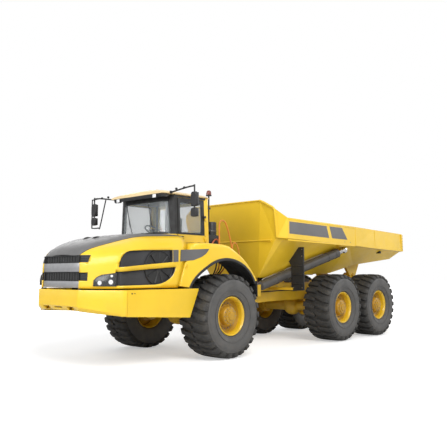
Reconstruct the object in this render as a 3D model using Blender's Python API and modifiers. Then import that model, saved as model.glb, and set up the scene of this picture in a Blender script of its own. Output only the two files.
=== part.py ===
"""Articulated dump truck, about 39 t class, on six single tyres.

Frame: +X forward, +Y left, +Z up, metres, origin on the ground under the middle of the truck.
Places along X are given from the front axle, which hangs on one empty with everything else.
"""
import math

import bmesh
import bpy
from mathutils import Matrix, Vector

# ---------------------------------------------------------------- driving dimensions
WHEELBASE = 4.40                # front axle to first bogie axle
BOGIE_SPACING = 1.94            # first to second bogie axle
FRONT_OVERHANG = 3.10           # front axle to the bumper's face
REAR_OVERHANG = 1.75            # last axle to the tail of the dump body
HINGE_X = -1.277                # steering hinge, behind the front axle
HITCH_Z = 1.22                  # height of the roll bearing behind the steering hinge
SPINDLE_RADIUS = 0.13           # shaft of the roll bearing
TRACK = 2.636                   # middle of one tyre to middle of the other
TYRE_RADIUS = 0.88
TYRE_WIDTH = 0.79
RIM_RADIUS = 0.4065             # outside of the rim flange
RIM_WIDTH = 0.66
HUB_RADIUS = 0.20               # planetary hub inside the rim
HUB_DEPTH = 0.205               # wheel's middle to the hub's flange on the axle
AXLE_RADIUS = 0.14
RAIL_INNER = 0.36               # half the space between the front frame's rails
RAIL_WIDTH = 0.10
RAIL_BOTTOM = 1.12
RAIL_TOP = 1.42
CAB_HALF_WIDTH = 0.93
CAB_ROOF_HALF_WIDTH = 0.87
CAB_WALL = 0.06
CAB_BASE_Z = 2.05
CAB_TOP_Z = 3.42
CAB_REAR_X = -0.06
CAB_PILLAR_X = 0.94             # front corner pillars
CAB_NOSE_X = 1.12               # middle of the windscreen's foot
SILL_Z = 2.60                   # lower edge of the cab's windows
WINDOW_TOP_Z = 3.34
DOOR_BOTTOM_Z = 2.42
DOOR_REAR_X = 0.06
DOOR_FRONT_X = 0.86
DOOR_THICKNESS = 0.05
GLASS = 0.012
HOOD_BOTTOM_Z = 1.49
HOOD_SKIN = 0.03
BUMPER_TOP_Z = 1.465
BUMPER_BOTTOM_Z = 1.00
PANEL_HALF_WIDTH = 1.47         # outside of the side panels under the hood
PANEL_FRONT_X = 2.57            # seam between the side panel and the bumper
FENDER_INNER_Y = CAB_HALF_WIDTH + 0.0003
FENDER_OUTER_Y = 1.60
FENDER_WALL = 0.02
FENDER_FOOT_Z = 1.4865          # top of the arm that the fender stands on
ARCH_X, ARCH_Z, ARCH_A, ARCH_B = 0.08, 1.28, 0.97, 0.80
BODY_HALF_WIDTH = 1.634         # outside of the dump body's top rail
BODY_RAIL = 0.095               # rail's thickness
BODY_SKIN = 0.075
TIP_X, TIP_Z = -6.70, 1.72      # dump body's hinge
TIP_PIN_RADIUS = 0.06
FRAME_BEAM_Y = 0.45             # middle of the rear frame's beams
FRAME_BEAM_WIDTH = 0.14
HOIST_FOOT = Vector((-1.80, 0.80, 1.42))
HOIST_EYE = Vector((-4.70, 1.52, 2.41))
HOIST_BARREL_RADIUS = 0.118
HOIST_ROD_RADIUS = 0.065
HOIST_BALL_RADIUS = 0.09
STEER_FOOT = Vector((-0.33, 0.41, 1.56))
STEER_EYE = Vector((-1.627, 0.36, 1.56))
STEER_BARREL_RADIUS = 0.065
STEER_ROD_RADIUS = 0.035
STEER_BALL_RADIUS = 0.055
GAP = 0.0003                    # between faces that touch
CLEAR = 0.006                   # between pieces that move past each other
WHEEL_SEGMENTS = 24
ROUND_SEGMENTS = 16

LENGTH = FRONT_OVERHANG + WHEELBASE + BOGIE_SPACING + REAR_OVERHANG
FRONT_AXLE_X = LENGTH / 2 - FRONT_OVERHANG
MIDDLE_AXLE_X = -WHEELBASE
REAR_AXLE_X = -WHEELBASE - BOGIE_SPACING
TAIL_X = REAR_AXLE_X - REAR_OVERHANG
BOGIE_X = (MIDDLE_AXLE_X + REAR_AXLE_X) / 2
SIDES = (("left", 1), ("right", -1))

# ---------------------------------------------------------------- scene and collections
for old in list(bpy.data.objects):
    bpy.data.objects.remove(old, do_unlink=True)

PARTS = bpy.data.collections.new("articulated_dump_truck")
CUTTERS = bpy.data.collections.new("cutters")
for collection in (PARTS, CUTTERS):
    bpy.context.scene.collection.children.link(collection)


def material(name, colour, roughness, metallic=0.0, alpha=1.0):
    """A Principled material of one colour."""
    made = bpy.data.materials.new(name)
    made.use_nodes = True
    shader = made.node_tree.nodes["Principled BSDF"]
    shader.inputs["Base Color"].default_value = (*colour, 1.0)
    shader.inputs["Roughness"].default_value = roughness
    shader.inputs["Metallic"].default_value = metallic
    shader.inputs["Alpha"].default_value = alpha
    return made


YELLOW = material("yellow_paint", (0.90, 0.58, 0.04), 0.35)
OCHRE = material("ochre_paint", (0.72, 0.44, 0.04), 0.45)
BLACK = material("black_paint", (0.03, 0.03, 0.03), 0.50)
RUBBER = material("tyre_rubber", (0.05, 0.05, 0.05), 0.85)
STEEL = material("dark_steel", (0.20, 0.20, 0.21), 0.40, 0.8)
CHROME = material("chromed_rod", (0.80, 0.80, 0.82), 0.12, 1.0)
SILVER = material("silver_plastic", (0.50, 0.50, 0.51), 0.35, 0.4)
PANE = material("window_glass", (0.75, 0.85, 0.85), 0.05, 0.0, 0.35)
LAMP = material("lamp_glass", (0.35, 0.37, 0.40), 0.08)
ORANGE = material("beacon_orange", (0.85, 0.25, 0.03), 0.20)
ROOF = material("roof_cream", (0.85, 0.66, 0.32), 0.45)
CLOTH = material("seat_cloth", (0.10, 0.10, 0.11), 0.90)


# ---------------------------------------------------------------- shape helpers
def empty(name, location, parent=None):
    """A joint's axis: an unturned empty at a place given from the front axle."""
    made = bpy.data.objects.new(name, None)
    PARTS.objects.link(made)
    made.parent = parent
    made.location = Vector(location)
    return made


TRUCK = empty("truck", (FRONT_AXLE_X, 0.0, 0.0))


def finish(obj, look, pivot=None):
    """Hangs an object on its joint's empty without moving it, and gives it its material."""
    obj.data.materials.clear()
    obj.data.materials.append(look)
    obj.parent = pivot or TRUCK
    if pivot:
        obj.location = obj.location - pivot.location
    return obj


def mesh_object(name, mesh, location=(0, 0, 0), cutter=False):
    made = bpy.data.objects.new(name, mesh)
    made.location = Vector(location)
    (CUTTERS if cutter else PARTS).objects.link(made)
    if cutter:
        made.parent = TRUCK
        made.display_type = "WIRE"
        made.hide_render = True
    return made


def round_off(obj, angle=35):
    obj.data.shade_smooth()
    obj.data.set_sharp_from_angle(angle=math.radians(angle))
    return obj


def box(name, low, high, cutter=False):
    """A box between two corners."""
    low, high = Vector(low), Vector(high)
    mesh = bpy.data.meshes.new(name)
    body = bmesh.new()
    bmesh.ops.create_cube(body, size=1.0, matrix=Matrix.Diagonal((*(high - low), 1.0)))
    body.to_mesh(mesh)
    body.free()
    return mesh_object(name, mesh, (low + high) / 2, cutter)


def rod(name, start, end, radius, end_radius=None, segments=ROUND_SEGMENTS, cutter=False):
    """A round bar or cone between two points."""
    start, end = Vector(start), Vector(end)
    run = end - start
    turn = Vector((0, 0, 1)).rotation_difference(run).to_matrix().to_4x4()
    mesh = bpy.data.meshes.new(name)
    body = bmesh.new()
    bmesh.ops.create_cone(body, cap_ends=True, segments=segments, radius1=radius,
                          radius2=radius if end_radius is None else end_radius,
                          depth=run.length, matrix=turn)
    body.to_mesh(mesh)
    body.free()
    return round_off(mesh_object(name, mesh, (start + end) / 2, cutter))


def ball(name, centre, radius, cutter=False):
    mesh = bpy.data.meshes.new(name)
    body = bmesh.new()
    bmesh.ops.create_uvsphere(body, u_segments=16, v_segments=8, radius=radius)
    body.to_mesh(mesh)
    body.free()
    return round_off(mesh_object(name, mesh, centre, cutter))


def as_mesh(curve_object, cutter=False):
    """Turns a curve object into a welded mesh object of the same name and place."""
    bpy.context.view_layer.update()
    seen = curve_object.evaluated_get(bpy.context.evaluated_depsgraph_get())
    mesh = bpy.data.meshes.new_from_object(seen)
    body = bmesh.new()
    body.from_mesh(mesh)
    bmesh.ops.remove_doubles(body, verts=body.verts, dist=0.00005)
    bmesh.ops.recalc_face_normals(body, faces=body.faces)
    body.to_mesh(mesh)
    body.free()
    place, name = curve_object.matrix_world.copy(), curve_object.name
    bpy.data.objects.remove(curve_object, do_unlink=True)
    mesh.transform(place)
    return mesh_object(name, mesh, cutter=cutter)


SIDE_VIEW = Matrix.Rotation(math.pi / 2, 4, "X")                     # outline of (x, z)
FRONT_VIEW = Matrix.Rotation(math.pi / 2, 4, "Z") @ SIDE_VIEW        # outline of (y, z)
TOP_VIEW = Matrix.Identity(4)                                        # outline of (x, y)


def outline(name, points, view, low, high, cutter=False):
    """A flat outline given thickness between two places along the view's own direction."""
    curve = bpy.data.curves.new(name, "CURVE")
    curve.dimensions = "2D"
    curve.fill_mode = "BOTH"
    curve.extrude = (high - low) / 2
    line = curve.splines.new("POLY")
    line.points.add(len(points) - 1)
    for point, (u, v) in zip(line.points, points):
        point.co = (u, v, 0, 1)
    line.use_cyclic_u = True
    made = bpy.data.objects.new(name, curve)
    bpy.context.scene.collection.objects.link(made)
    along = {"side": Vector((0, 1, 0)), "front": Vector((1, 0, 0)), "top": Vector((0, 0, 1))}
    key = "side" if view is SIDE_VIEW else "front" if view is FRONT_VIEW else "top"
    made.matrix_world = Matrix.Translation(along[key] * (low + high) / 2) @ view
    return as_mesh(made, cutter)


def tube(name, points, radius, resolution=2):
    """A bent round bar with closed ends."""
    curve = bpy.data.curves.new(name, "CURVE")
    curve.dimensions = "3D"
    curve.bevel_depth = radius
    curve.bevel_resolution = resolution
    curve.use_fill_caps = True
    line = curve.splines.new("POLY")
    line.points.add(len(points) - 1)
    for point, place in zip(line.points, points):
        point.co = (*place, 1)
    made = bpy.data.objects.new(name, curve)
    bpy.context.scene.collection.objects.link(made)
    return round_off(as_mesh(made), 50)


def turned(name, profile, centre, axis, segments):
    """A profile of (radius, height) points, top to bottom at the outside, turned about an axis."""
    mesh = bpy.data.meshes.new(name)
    body = bmesh.new()
    made = [body.verts.new((radius, 0, height)) for radius, height in profile]
    for first, second in zip(made, made[1:]):
        body.edges.new((first, second))
    if profile[0][0] > 0:
        body.edges.new((made[-1], made[0]))
    body.to_mesh(mesh)
    body.free()
    obj = mesh_object(name, mesh, centre)
    screw = obj.modifiers.new("turn", "SCREW")
    screw.steps = segments
    screw.render_steps = segments
    screw.use_merge_vertices = True
    screw.merge_threshold = 0.0001
    screw.use_smooth_shade = True
    obj.rotation_euler = Vector((0, 0, 1)).rotation_difference(Vector(axis)).to_euler()
    return obj


def loft(name, sections, cutter=False):
    """A closed solid through rings of points of equal count, with flat ends."""
    mesh = bpy.data.meshes.new(name)
    body = bmesh.new()
    rings = [[body.verts.new(point) for point in ring] for ring in sections]
    for near, far in zip(rings, rings[1:]):
        for index in range(len(near)):
            following = (index + 1) % len(near)
            body.faces.new((near[index], near[following], far[following], far[index]))
    body.faces.new(reversed(rings[0]))
    body.faces.new(rings[-1])
    bmesh.ops.triangulate(body, faces=body.faces)
    bmesh.ops.recalc_face_normals(body, faces=body.faces)
    body.to_mesh(mesh)
    body.free()
    return mesh_object(name, mesh, cutter=cutter)


def mirrored_ring(half):
    """A ring of points from its left half, listed from the top middle to the bottom."""
    return list(half) + [(x, -y, z) for x, y, z in reversed(half)]


def combine(obj, others, operation="UNION"):
    """Adds other solids to an object, or cuts them from it; the others become cutters."""
    for other in others:
        if other.name not in CUTTERS.objects:
            PARTS.objects.unlink(other)
            CUTTERS.objects.link(other)
            other.parent = TRUCK
            other.display_type = "WIRE"
            other.hide_render = True
        step = obj.modifiers.new(other.name, "BOOLEAN")
        step.object = other
        step.operation = operation
        step.solver = "EXACT"
    return obj


def soften(obj, width, segments=1):
    bevel = obj.modifiers.new("edges", "BEVEL")
    bevel.width = width
    bevel.segments = segments
    bevel.limit_method = "ANGLE"
    bevel.angle_limit = math.radians(50)
    return obj


def bore_radius(pin_radius, segments=ROUND_SEGMENTS):
    """The radius of a faceted bore whose flats clear a faceted pin at any turn."""
    return pin_radius / math.cos(math.pi / segments) + GAP


def ellipse(centre_x, centre_z, half_x, half_z, start, end, steps):
    """Points along an ellipse in side view, angles in degrees from +X."""
    angles = [math.radians(start + (end - start) * i / steps) for i in range(steps + 1)]
    return [(centre_x + half_x * math.cos(a), centre_z + half_z * math.sin(a)) for a in angles]


# ---------------------------------------------------------------- front frame and drive line
def front_frame():
    """Two rails with crossmembers, cab posts, and the yoke that holds the steering pin."""
    rail_outer = RAIL_INNER + RAIL_WIDTH
    frame = box("front_frame", (-0.80, RAIL_INNER, RAIL_BOTTOM), (2.80, rail_outer, RAIL_TOP))
    added = [box("rail_right", (-0.80, -rail_outer, RAIL_BOTTOM), (2.80, -RAIL_INNER, RAIL_TOP))]
    for name, front, rear, low, high in (("cross_front", 2.76, 2.64, 1.10, 1.40),
                                         ("cross_engine", 1.12, 1.00, 1.10, 1.36),
                                         ("cross_rear", -0.70, -0.82, 0.98, 1.46)):
        added.append(box(name, (rear, -rail_outer + 0.002, low), (front, rail_outer - 0.002, high)))
    for name, low, high in (("lug_lower", 0.985, 1.075), ("lug_upper", 1.365, 1.455)):
        lug = [(-0.74, -0.40), (-0.74, 0.40), (-0.95, 0.36), (HINGE_X, 0.15), (HINGE_X - 0.13, 0.08),
               (HINGE_X - 0.13, -0.08), (HINGE_X, -0.15), (-0.95, -0.36)]
        added.append(outline(name, lug, TOP_VIEW, low, high))
    added.append(rod("steering_pin", (HINGE_X, 0, 0.96), (HINGE_X, 0, 1.48), 0.07))
    for x in (0.10, 0.80):
        for side, sign in SIDES:
            y = sign * 0.41
            added.append(box(f"cab_post_{side}_{x}", (x - 0.06, y - 0.045, RAIL_TOP - 0.02),
                             (x + 0.06, y + 0.045, CAB_BASE_Z - GAP)))
    for side, sign in SIDES:
        plate = STEER_BALL_RADIUS + GAP
        for level, start, end in (("inner", -plate - 0.025, -plate), ("outer", plate, plate + 0.025)):
            low, high = sorted((sign * (STEER_FOOT.y + start), sign * (STEER_FOOT.y + end)))
            added.append(box(f"steer_ear_{side}_{level}", (STEER_FOOT.x - 0.05, low, RAIL_TOP),
                             (STEER_FOOT.x + 0.06, high, STEER_FOOT.z + 0.05)))
        low, high = sorted((sign * (STEER_FOOT.y - plate - 0.025), sign * (STEER_FOOT.y + plate + 0.025)))
        added.append(box(f"steer_seat_{side}", (STEER_FOOT.x - 0.05, low, RAIL_TOP - 0.02),
                         (STEER_FOOT.x + 0.06, high, RAIL_TOP + 0.02)))
        fender_arm = sorted((sign * (rail_outer - 0.02), sign * (FENDER_OUTER_Y - 0.35)))
        added.append(box(f"fender_arm_{side}", (1.02, fender_arm[0], 1.44),
                         (1.10, fender_arm[1], FENDER_FOOT_Z)))
        low, high = sorted((sign * (rail_outer - 0.02), sign * 0.55))
        added.append(box(f"fender_foot_{side}", (1.02, low, 1.30), (1.10, high, 1.46)))
    finish(combine(frame, added), BLACK)


def axle(name, x):
    """A tube across the truck with the drive gear's round case in its middle."""
    end = TRACK / 2 - HUB_DEPTH
    beam = rod(name, (x, -end, TYRE_RADIUS), (x, end, TYRE_RADIUS), AXLE_RADIUS)
    added = [ball(f"{name}_case", (x, 0, TYRE_RADIUS + 0.004), 0.27)]
    for side, sign in SIDES:
        added.append(rod(f"{name}_hub_{side}", (x, sign * (end - 0.20), TYRE_RADIUS),
                         (x, sign * (end - 0.03), TYRE_RADIUS), 0.21))
    return beam, added


def front_axle():
    """The front axle on its two arms and two hydropneumatic struts."""
    beam, added = axle("front_axle", 0.0)
    for side, sign in SIDES:
        y = sign * 0.62
        added.append(rod(f"strut_{side}", (0.0, y, TYRE_RADIUS), (0.0, y, 1.40), 0.075))
        added.append(rod(f"strut_top_{side}", (0.0, y + sign * 0.01, 1.36),
                         (0.0, sign * (RAIL_INNER + RAIL_WIDTH + GAP), 1.36), 0.05))
        added.append(rod(f"arm_{side}", (0.0, sign * 0.30, TYRE_RADIUS - 0.02),
                         (0.98, sign * 0.30, 1.02), 0.05))
    finish(combine(beam, added), YELLOW)


def engine():
    """The engine as one plain block between the rails."""
    half = RAIL_INNER - GAP
    finish(box("engine_block", (1.20, -half, 1.16), (2.55, half, 1.98)), BLACK)


def bumper():
    """The front bumper: a straight face with swept corners, hollow behind."""
    corner = 0.70
    face = [(FRONT_OVERHANG, corner), (2.62, PANEL_HALF_WIDTH - 0.03), (2.60, PANEL_HALF_WIDTH),
            (PANEL_FRONT_X + GAP, PANEL_HALF_WIDTH), (PANEL_FRONT_X + GAP, PANEL_HALF_WIDTH - 0.06),
            (FRONT_OVERHANG - 0.10, corner - 0.06)]
    ring = face + [(x, -y) for x, y in reversed(face)]
    shell = outline("front_bumper", ring, TOP_VIEW, BUMPER_BOTTOM_Z, BUMPER_TOP_Z)
    added = []
    for side, sign in SIDES:
        low, high = sorted((sign * 0.30, sign * 0.46))
        added.append(box(f"bumper_bracket_{side}", (2.80 + GAP, low, 1.14),
                         (FRONT_OVERHANG - 0.08, high, 1.40)))
    slope = [(FRONT_OVERHANG + 0.01, BUMPER_BOTTOM_Z - 0.01), (FRONT_OVERHANG + 0.01, 1.18),
             (FRONT_OVERHANG - 0.16, BUMPER_BOTTOM_Z - 0.01)]
    for side, sign in SIDES:
        low, high = sorted((sign * 0.61, sign * 0.69))
        added.append(box(f"hood_seat_{side}", (2.96, low, BUMPER_TOP_Z - 0.03),
                         (3.05, high, HOOD_BOTTOM_Z - GAP)))
    combine(shell, added)
    combine(shell, [outline("bumper_lip", slope, SIDE_VIEW, -1.6, 1.6, cutter=True)], "DIFFERENCE")
    finish(shell, YELLOW)


def side_panel(side, sign):
    """The panel between the bumper's corner and the front wheel, with its top shelf."""
    edge = [(PANEL_FRONT_X, BUMPER_TOP_Z), (PANEL_FRONT_X, BUMPER_BOTTOM_Z - 0.01), (1.03, 0.90),
            (0.80, 1.43), (0.80, BUMPER_TOP_Z)]
    low, high = sorted((sign * PANEL_HALF_WIDTH, sign * (PANEL_HALF_WIDTH - 0.05)))
    panel = outline(f"side_panel_{side}", edge, SIDE_VIEW, low, high)
    shelf_low, shelf_high = sorted((sign * 0.95, sign * (PANEL_HALF_WIDTH - 0.03)))
    shelf = box(f"panel_shelf_{side}", (1.14, shelf_low, BUMPER_TOP_Z - 0.05),
                (2.48, shelf_high, BUMPER_TOP_Z - 0.002))
    arm_low, arm_high = sorted((sign * (RAIL_INNER + RAIL_WIDTH + GAP), sign * 0.97))
    arm = box(f"panel_arm_{side}", (1.60, arm_low, 1.34), (1.70, arm_high, 1.40))
    post = box(f"panel_post_{side}", (1.60, sorted((sign * 0.95, sign * 1.05))[0], 1.34),
               (1.70, sorted((sign * 0.95, sign * 1.05))[1], BUMPER_TOP_Z - 0.04))
    finish(combine(panel, [shelf, arm, post]), YELLOW)


# Hood sections from the cab to the nose. Columns: x at the lower edge, x of the side's upper
# corner, x of the shoulder, x at the middle, half width low, half width at the shoulder,
# shoulder height, middle height.
HOOD_SECTIONS = ((1.252, 1.032, 0.965, 1.15, 1.360, 1.120, 2.545, 2.636),
                 (2.050, 2.032, 2.000, 2.00, 1.360, 1.080, 2.480, 2.560),
                 (2.600, 2.565, 2.500, 2.50, 1.340, 0.980, 2.375, 2.455),
                 (2.920, 2.892, 2.840, 2.84, 0.920, 0.780, 2.268, 2.335),
                 (3.060, 3.039, 3.000, 3.00, 0.640, 0.600, 2.150, 2.190))
# Vents in the hood's side, as side view outlines.
UPPER_VENT = ((2.56, 1.88), (2.50, 2.06), (2.38, 2.15), (1.33, 2.20), (1.37, 2.00))
LOWER_VENT = ((2.60, 1.56), (2.56, 1.79), (1.30, 1.88), (1.44, 1.70), (1.66, 1.58))


def side_height(z_shoulder):
    """Height of the upper corner of the hood's upright side."""
    return 0.70 * z_shoulder + 0.30 * HOOD_BOTTOM_Z


def hood_ring(section, inset=0.0, drop=0.0):
    x_low, x_side, x_shoulder, x_middle, y_low, y_top, z_shoulder, z_middle = section
    half = [(x_middle, 0.0, z_middle - inset), (x_middle, y_top * 0.55, z_middle - inset - 0.02),
            (x_shoulder, y_top - inset, z_shoulder - inset),
            (x_side, y_low - inset, side_height(z_shoulder)),
            (x_low, y_low - inset, HOOD_BOTTOM_Z - drop)]
    return half + [(x, -y, z) for x, y, z in reversed(half[1:])]


def hood(pivot):
    """The tilting hood, an open shell with two vents on each side and an open nose."""
    shell = loft("hood", [hood_ring(section) for section in HOOD_SECTIONS])
    inner = [hood_ring(section, HOOD_SKIN, 0.2) for section in HOOD_SECTIONS]
    inner[0] = [(x - 0.3, y, z + 0.04) for x, y, z in inner[0]]
    inner[-1] = [(x - HOOD_SKIN, y, z) for x, y, z in inner[-1]]
    combine(shell, [loft("hood_inside", inner, cutter=True)], "DIFFERENCE")
    nose = box("nose_opening", (2.80, -0.56, 1.56), (3.30, 0.56, 2.08), cutter=True)
    vents = [outline("vent_upper", UPPER_VENT, SIDE_VIEW, -1.6, 1.6, cutter=True),
             outline("vent_lower", LOWER_VENT, SIDE_VIEW, -1.6, 1.6, cutter=True)]
    combine(shell, [nose, *vents], "DIFFERENCE")
    finish(shell, YELLOW, pivot)


def grille(pivot):
    """The grille in the hood's nose: a frame with a middle and a lower bar."""
    half_width, low, high = 0.56 - GAP, 1.56 + GAP, 2.08 - GAP
    plate = box("grille", (2.935, -half_width, low), (2.985, half_width, high))
    holes = [box("grille_upper_hole", (2.8, -0.49, 1.90), (3.3, 0.49, 2.04), cutter=True),
             box("grille_lower_hole", (2.8, -0.49, 1.62), (3.3, 0.49, 1.76), cutter=True)]
    finish(combine(plate, holes, "DIFFERENCE"), SILVER, pivot)


def hood_side(section, z):
    """The place on a section's upright side at a height."""
    x_low, x_side, _, _, y_low, _, z_shoulder, _ = section
    share = (z - HOOD_BOTTOM_Z) / (side_height(z_shoulder) - HOOD_BOTTOM_Z)
    return Vector((x_low + (x_side - x_low) * share, y_low, z))


def headlight(side, sign, pivot):
    """A lamp block on the hood's swept corner."""
    rear, front = HOOD_SECTIONS[2], HOOD_SECTIONS[3]
    along = (hood_side(front, 1.60) - hood_side(rear, 1.60)).normalized()
    out = Vector((-along.y, along.x, 0)).normalized()
    rings = []
    for share, top in ((0.20, 1.77), (0.94, 1.70)):
        low_end = hood_side(rear, 1.54).lerp(hood_side(front, 1.54), share)
        high_end = hood_side(rear, top).lerp(hood_side(front, top), share)
        ring = [low_end + out * GAP * 3, low_end + out * 0.02, high_end + out * 0.014,
                high_end + out * GAP * 3]
        rings.append([(p.x, sign * p.y, p.z) for p in ring])
    finish(loft(f"headlight_{side}", rings), LAMP, pivot)


def offset_outline(points, distance):
    """The outline moved inwards by a distance, for a wall of even thickness."""
    count, moved = len(points), []
    area = sum(points[i][0] * points[(i + 1) % count][1] - points[(i + 1) % count][0] * points[i][1]
               for i in range(count))
    inward = distance if area > 0 else -distance
    for i in range(count):
        before, here, after = (Vector(points[(i + k) % count]) for k in (-1, 0, 1))
        first, second = (here - before).normalized(), (after - here).normalized()
        normal_one, normal_two = Vector((-first.y, first.x)), Vector((-second.y, second.x))
        bisector = (normal_one + normal_two).normalized()
        moved.append(tuple(here + bisector * inward / max(bisector.dot(normal_one), 0.4)))
    return moved


FENDER_TOP = ((1.24, HOOD_BOTTOM_Z), (1.02, 2.20), (0.95, 2.385), (0.20, 2.375), (-0.05, 2.31),
              (-0.41, 2.12), (-0.64, 1.92), (-0.92, 1.60))


def fender(side, sign):
    """A front fender: outer side, top and wheel arch as one hollow pressing, open to the cab."""
    arch = [point for point in ellipse(ARCH_X, ARCH_Z, ARCH_A, ARCH_B, 156, 15, 12)]
    edge = list(FENDER_TOP) + arch
    low, high = sorted((sign * FENDER_INNER_Y, sign * FENDER_OUTER_Y))
    shell = outline(f"fender_{side}", edge, SIDE_VIEW, low, high)
    low, high = sorted((sign * (FENDER_INNER_Y - 0.05), sign * (FENDER_OUTER_Y - FENDER_WALL)))
    inside = outline(f"fender_inside_{side}", offset_outline(edge, FENDER_WALL), SIDE_VIEW, low, high,
                     cutter=True)
    finish(combine(shell, [inside], "DIFFERENCE"), YELLOW)


# ---------------------------------------------------------------- cab
def cab_plan(inset, z, lean):
    """The cab's plan at a height: straight sides, chamfered front corners."""
    share = (z - CAB_BASE_Z) / (CAB_TOP_Z - CAB_BASE_Z)
    half = CAB_HALF_WIDTH + (CAB_ROOF_HALF_WIDTH - CAB_HALF_WIDTH) * share - inset
    nose = CAB_NOSE_X - lean * share - inset
    pillar = CAB_PILLAR_X - 0.3 * inset
    rear = CAB_REAR_X + inset
    right = [(nose, -0.55), (pillar, -half), (rear, -half)]
    return [(x, y, z) for x, y in right] + [(x, -y, z) for x, y in reversed(right)]


def cab_shell():
    """The cab's floor, walls and pillars with the door opening and every window cut."""
    shell = loft("cab_shell", [cab_plan(0.0, CAB_BASE_Z, 0.06), cab_plan(0.0, CAB_TOP_Z, 0.06)])
    room = loft("cab_room", [cab_plan(CAB_WALL, CAB_BASE_Z + 0.08, 0.06),
                             cab_plan(CAB_WALL, CAB_TOP_Z - 0.05, 0.06)], cutter=True)
    cuts = [room,
            box("screen_opening", (0.98, -0.80, SILL_Z), (1.4, 0.80, WINDOW_TOP_Z), cutter=True),
            box("rear_opening", (-0.3, -0.72, SILL_Z + 0.10), (0.2, 0.72, WINDOW_TOP_Z - 0.05), cutter=True),
            box("side_opening", (0.10, -1.2, SILL_Z), (0.86, -0.5, WINDOW_TOP_Z), cutter=True),
            box("door_opening", (DOOR_REAR_X, 0.5, DOOR_BOTTOM_Z), (DOOR_FRONT_X, 1.2, WINDOW_TOP_Z + 0.03),
                cutter=True)]
    combine(shell, cuts, "DIFFERENCE")
    knuckles = [part for z in KNUCKLE_HEIGHTS for part in knuckle("cab_knuckle", z, -0.05)]
    finish(combine(shell, knuckles), YELLOW)


def wall_y(z):
    """Outside of the cab's side wall at a height."""
    share = (z - CAB_BASE_Z) / (CAB_TOP_Z - CAB_BASE_Z)
    return CAB_HALF_WIDTH + (CAB_ROOF_HALF_WIDTH - CAB_HALF_WIDTH) * share


def wall_slab(name, sign, x_range, z_range, outer, thickness, cutter=False):
    """A slab that leans with the cab's side wall; outer is its distance outside the wall."""
    rings = []
    for x in x_range:
        rings.append([(x, sign * (wall_y(z) + depth), z)
                      for z, depth in ((z_range[0], outer), (z_range[1], outer),
                                       (z_range[1], outer - thickness), (z_range[0], outer - thickness))])
    return loft(name, rings, cutter)


def knuckle(name, z, reach):
    """One barrel of a door hinge with its leaf, standing on a height."""
    low, high = z + GAP, z + KNUCKLE
    barrel = rod(f"{name}_{z}", (DOOR_REAR_X, DOOR_HINGE_Y, low), (DOOR_REAR_X, DOOR_HINGE_Y, high), 0.014,
                 segments=12)
    front, rear = max(DOOR_REAR_X + reach, DOOR_REAR_X), min(DOOR_REAR_X + reach, DOOR_REAR_X)
    leaf = box(f"{name}_leaf_{z}", (rear, wall_y(high) - 0.02, low + 0.002),
               (front, DOOR_HINGE_Y, high - 0.002))
    return [barrel, leaf]


DOOR_HINGE_Y = wall_y(DOOR_BOTTOM_Z) + 0.012
KNUCKLE = 0.05                  # height of one barrel of the hinge
KNUCKLE_HEIGHTS = (2.46, 2.92)


def door(pivot):
    """The cab's left door with its window opening, hinged at its rear edge."""
    gap = CLEAR
    leaf = wall_slab("cab_door_left", 1, (DOOR_REAR_X + gap, DOOR_FRONT_X - 2 * gap),
                     (DOOR_BOTTOM_Z + gap, WINDOW_TOP_Z + 0.03 - gap), 0.0, DOOR_THICKNESS)
    window = wall_slab("door_window", 1, (DOOR_REAR_X + 0.07, DOOR_FRONT_X - 0.06),
                       (SILL_Z, WINDOW_TOP_Z - 0.04), 0.1, 0.3, cutter=True)
    combine(leaf, [window], "DIFFERENCE")
    combine(leaf, [part for z in KNUCKLE_HEIGHTS for part in knuckle("door_knuckle", z + KNUCKLE, 0.05)])
    finish(leaf, YELLOW, pivot)
    pane = wall_slab("door_glass", 1, (DOOR_REAR_X + 0.07 + GAP, DOOR_FRONT_X - 0.06 - GAP),
                     (SILL_Z + GAP, WINDOW_TOP_Z - 0.04 - GAP), -0.015, GLASS)
    finish(pane, PANE, pivot)


def cab_glass():
    """Windscreen, rear window and right side window, each a pane in its opening."""
    panes = []
    edge_x = 0.98 + GAP
    slope = 2.45
    for z in (SILL_Z + GAP, WINDOW_TOP_Z - GAP):
        share = (z - CAB_BASE_Z) / (CAB_TOP_Z - CAB_BASE_Z)
        nose = CAB_NOSE_X - 0.06 * share - 0.015
        half = []
        for x, y in ((nose, 0.55), (nose - GLASS, 0.55 - GLASS / 3)):
            half.append([(edge_x, y - (edge_x - x) * slope), (x, y)])
        outer, inner = half
        right = [(x, -y) for x, y in outer] + [(x, y) for x, y in reversed(outer)]
        left = inner + [(x, -y) for x, y in reversed(inner)]
        panes.append([(x, y, z) for x, y in right + left])
    finish(loft("windscreen", panes), PANE)
    rear = box("rear_window", (CAB_REAR_X + 0.02, -0.72 + GAP, SILL_Z + 0.10 + GAP),
               (CAB_REAR_X + 0.02 + GLASS, 0.72 - GAP, WINDOW_TOP_Z - 0.05 - GAP))
    finish(rear, PANE)
    right = wall_slab("side_glass_right", -1, (0.10 + GAP, 0.86 - GAP),
                      (SILL_Z + GAP, WINDOW_TOP_Z - GAP), -0.02, GLASS)
    finish(right, PANE)


def cab_roof():
    """The thin arched roof with its front visor."""
    eave = CAB_ROOF_HALF_WIDTH + 0.05
    arch = []
    for index in range(9):
        y = eave - index * eave / 4
        arch.append((y, CAB_TOP_Z + 0.055 + 0.07 * (1 - (y / eave) ** 2)))
    edge = arch + [(-eave, CAB_TOP_Z + GAP), (eave, CAB_TOP_Z + GAP)]
    slab = outline("cab_roof", edge, FRONT_VIEW, CAB_REAR_X - 0.06, CAB_NOSE_X + 0.16)
    finish(slab, ROOF)


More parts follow.
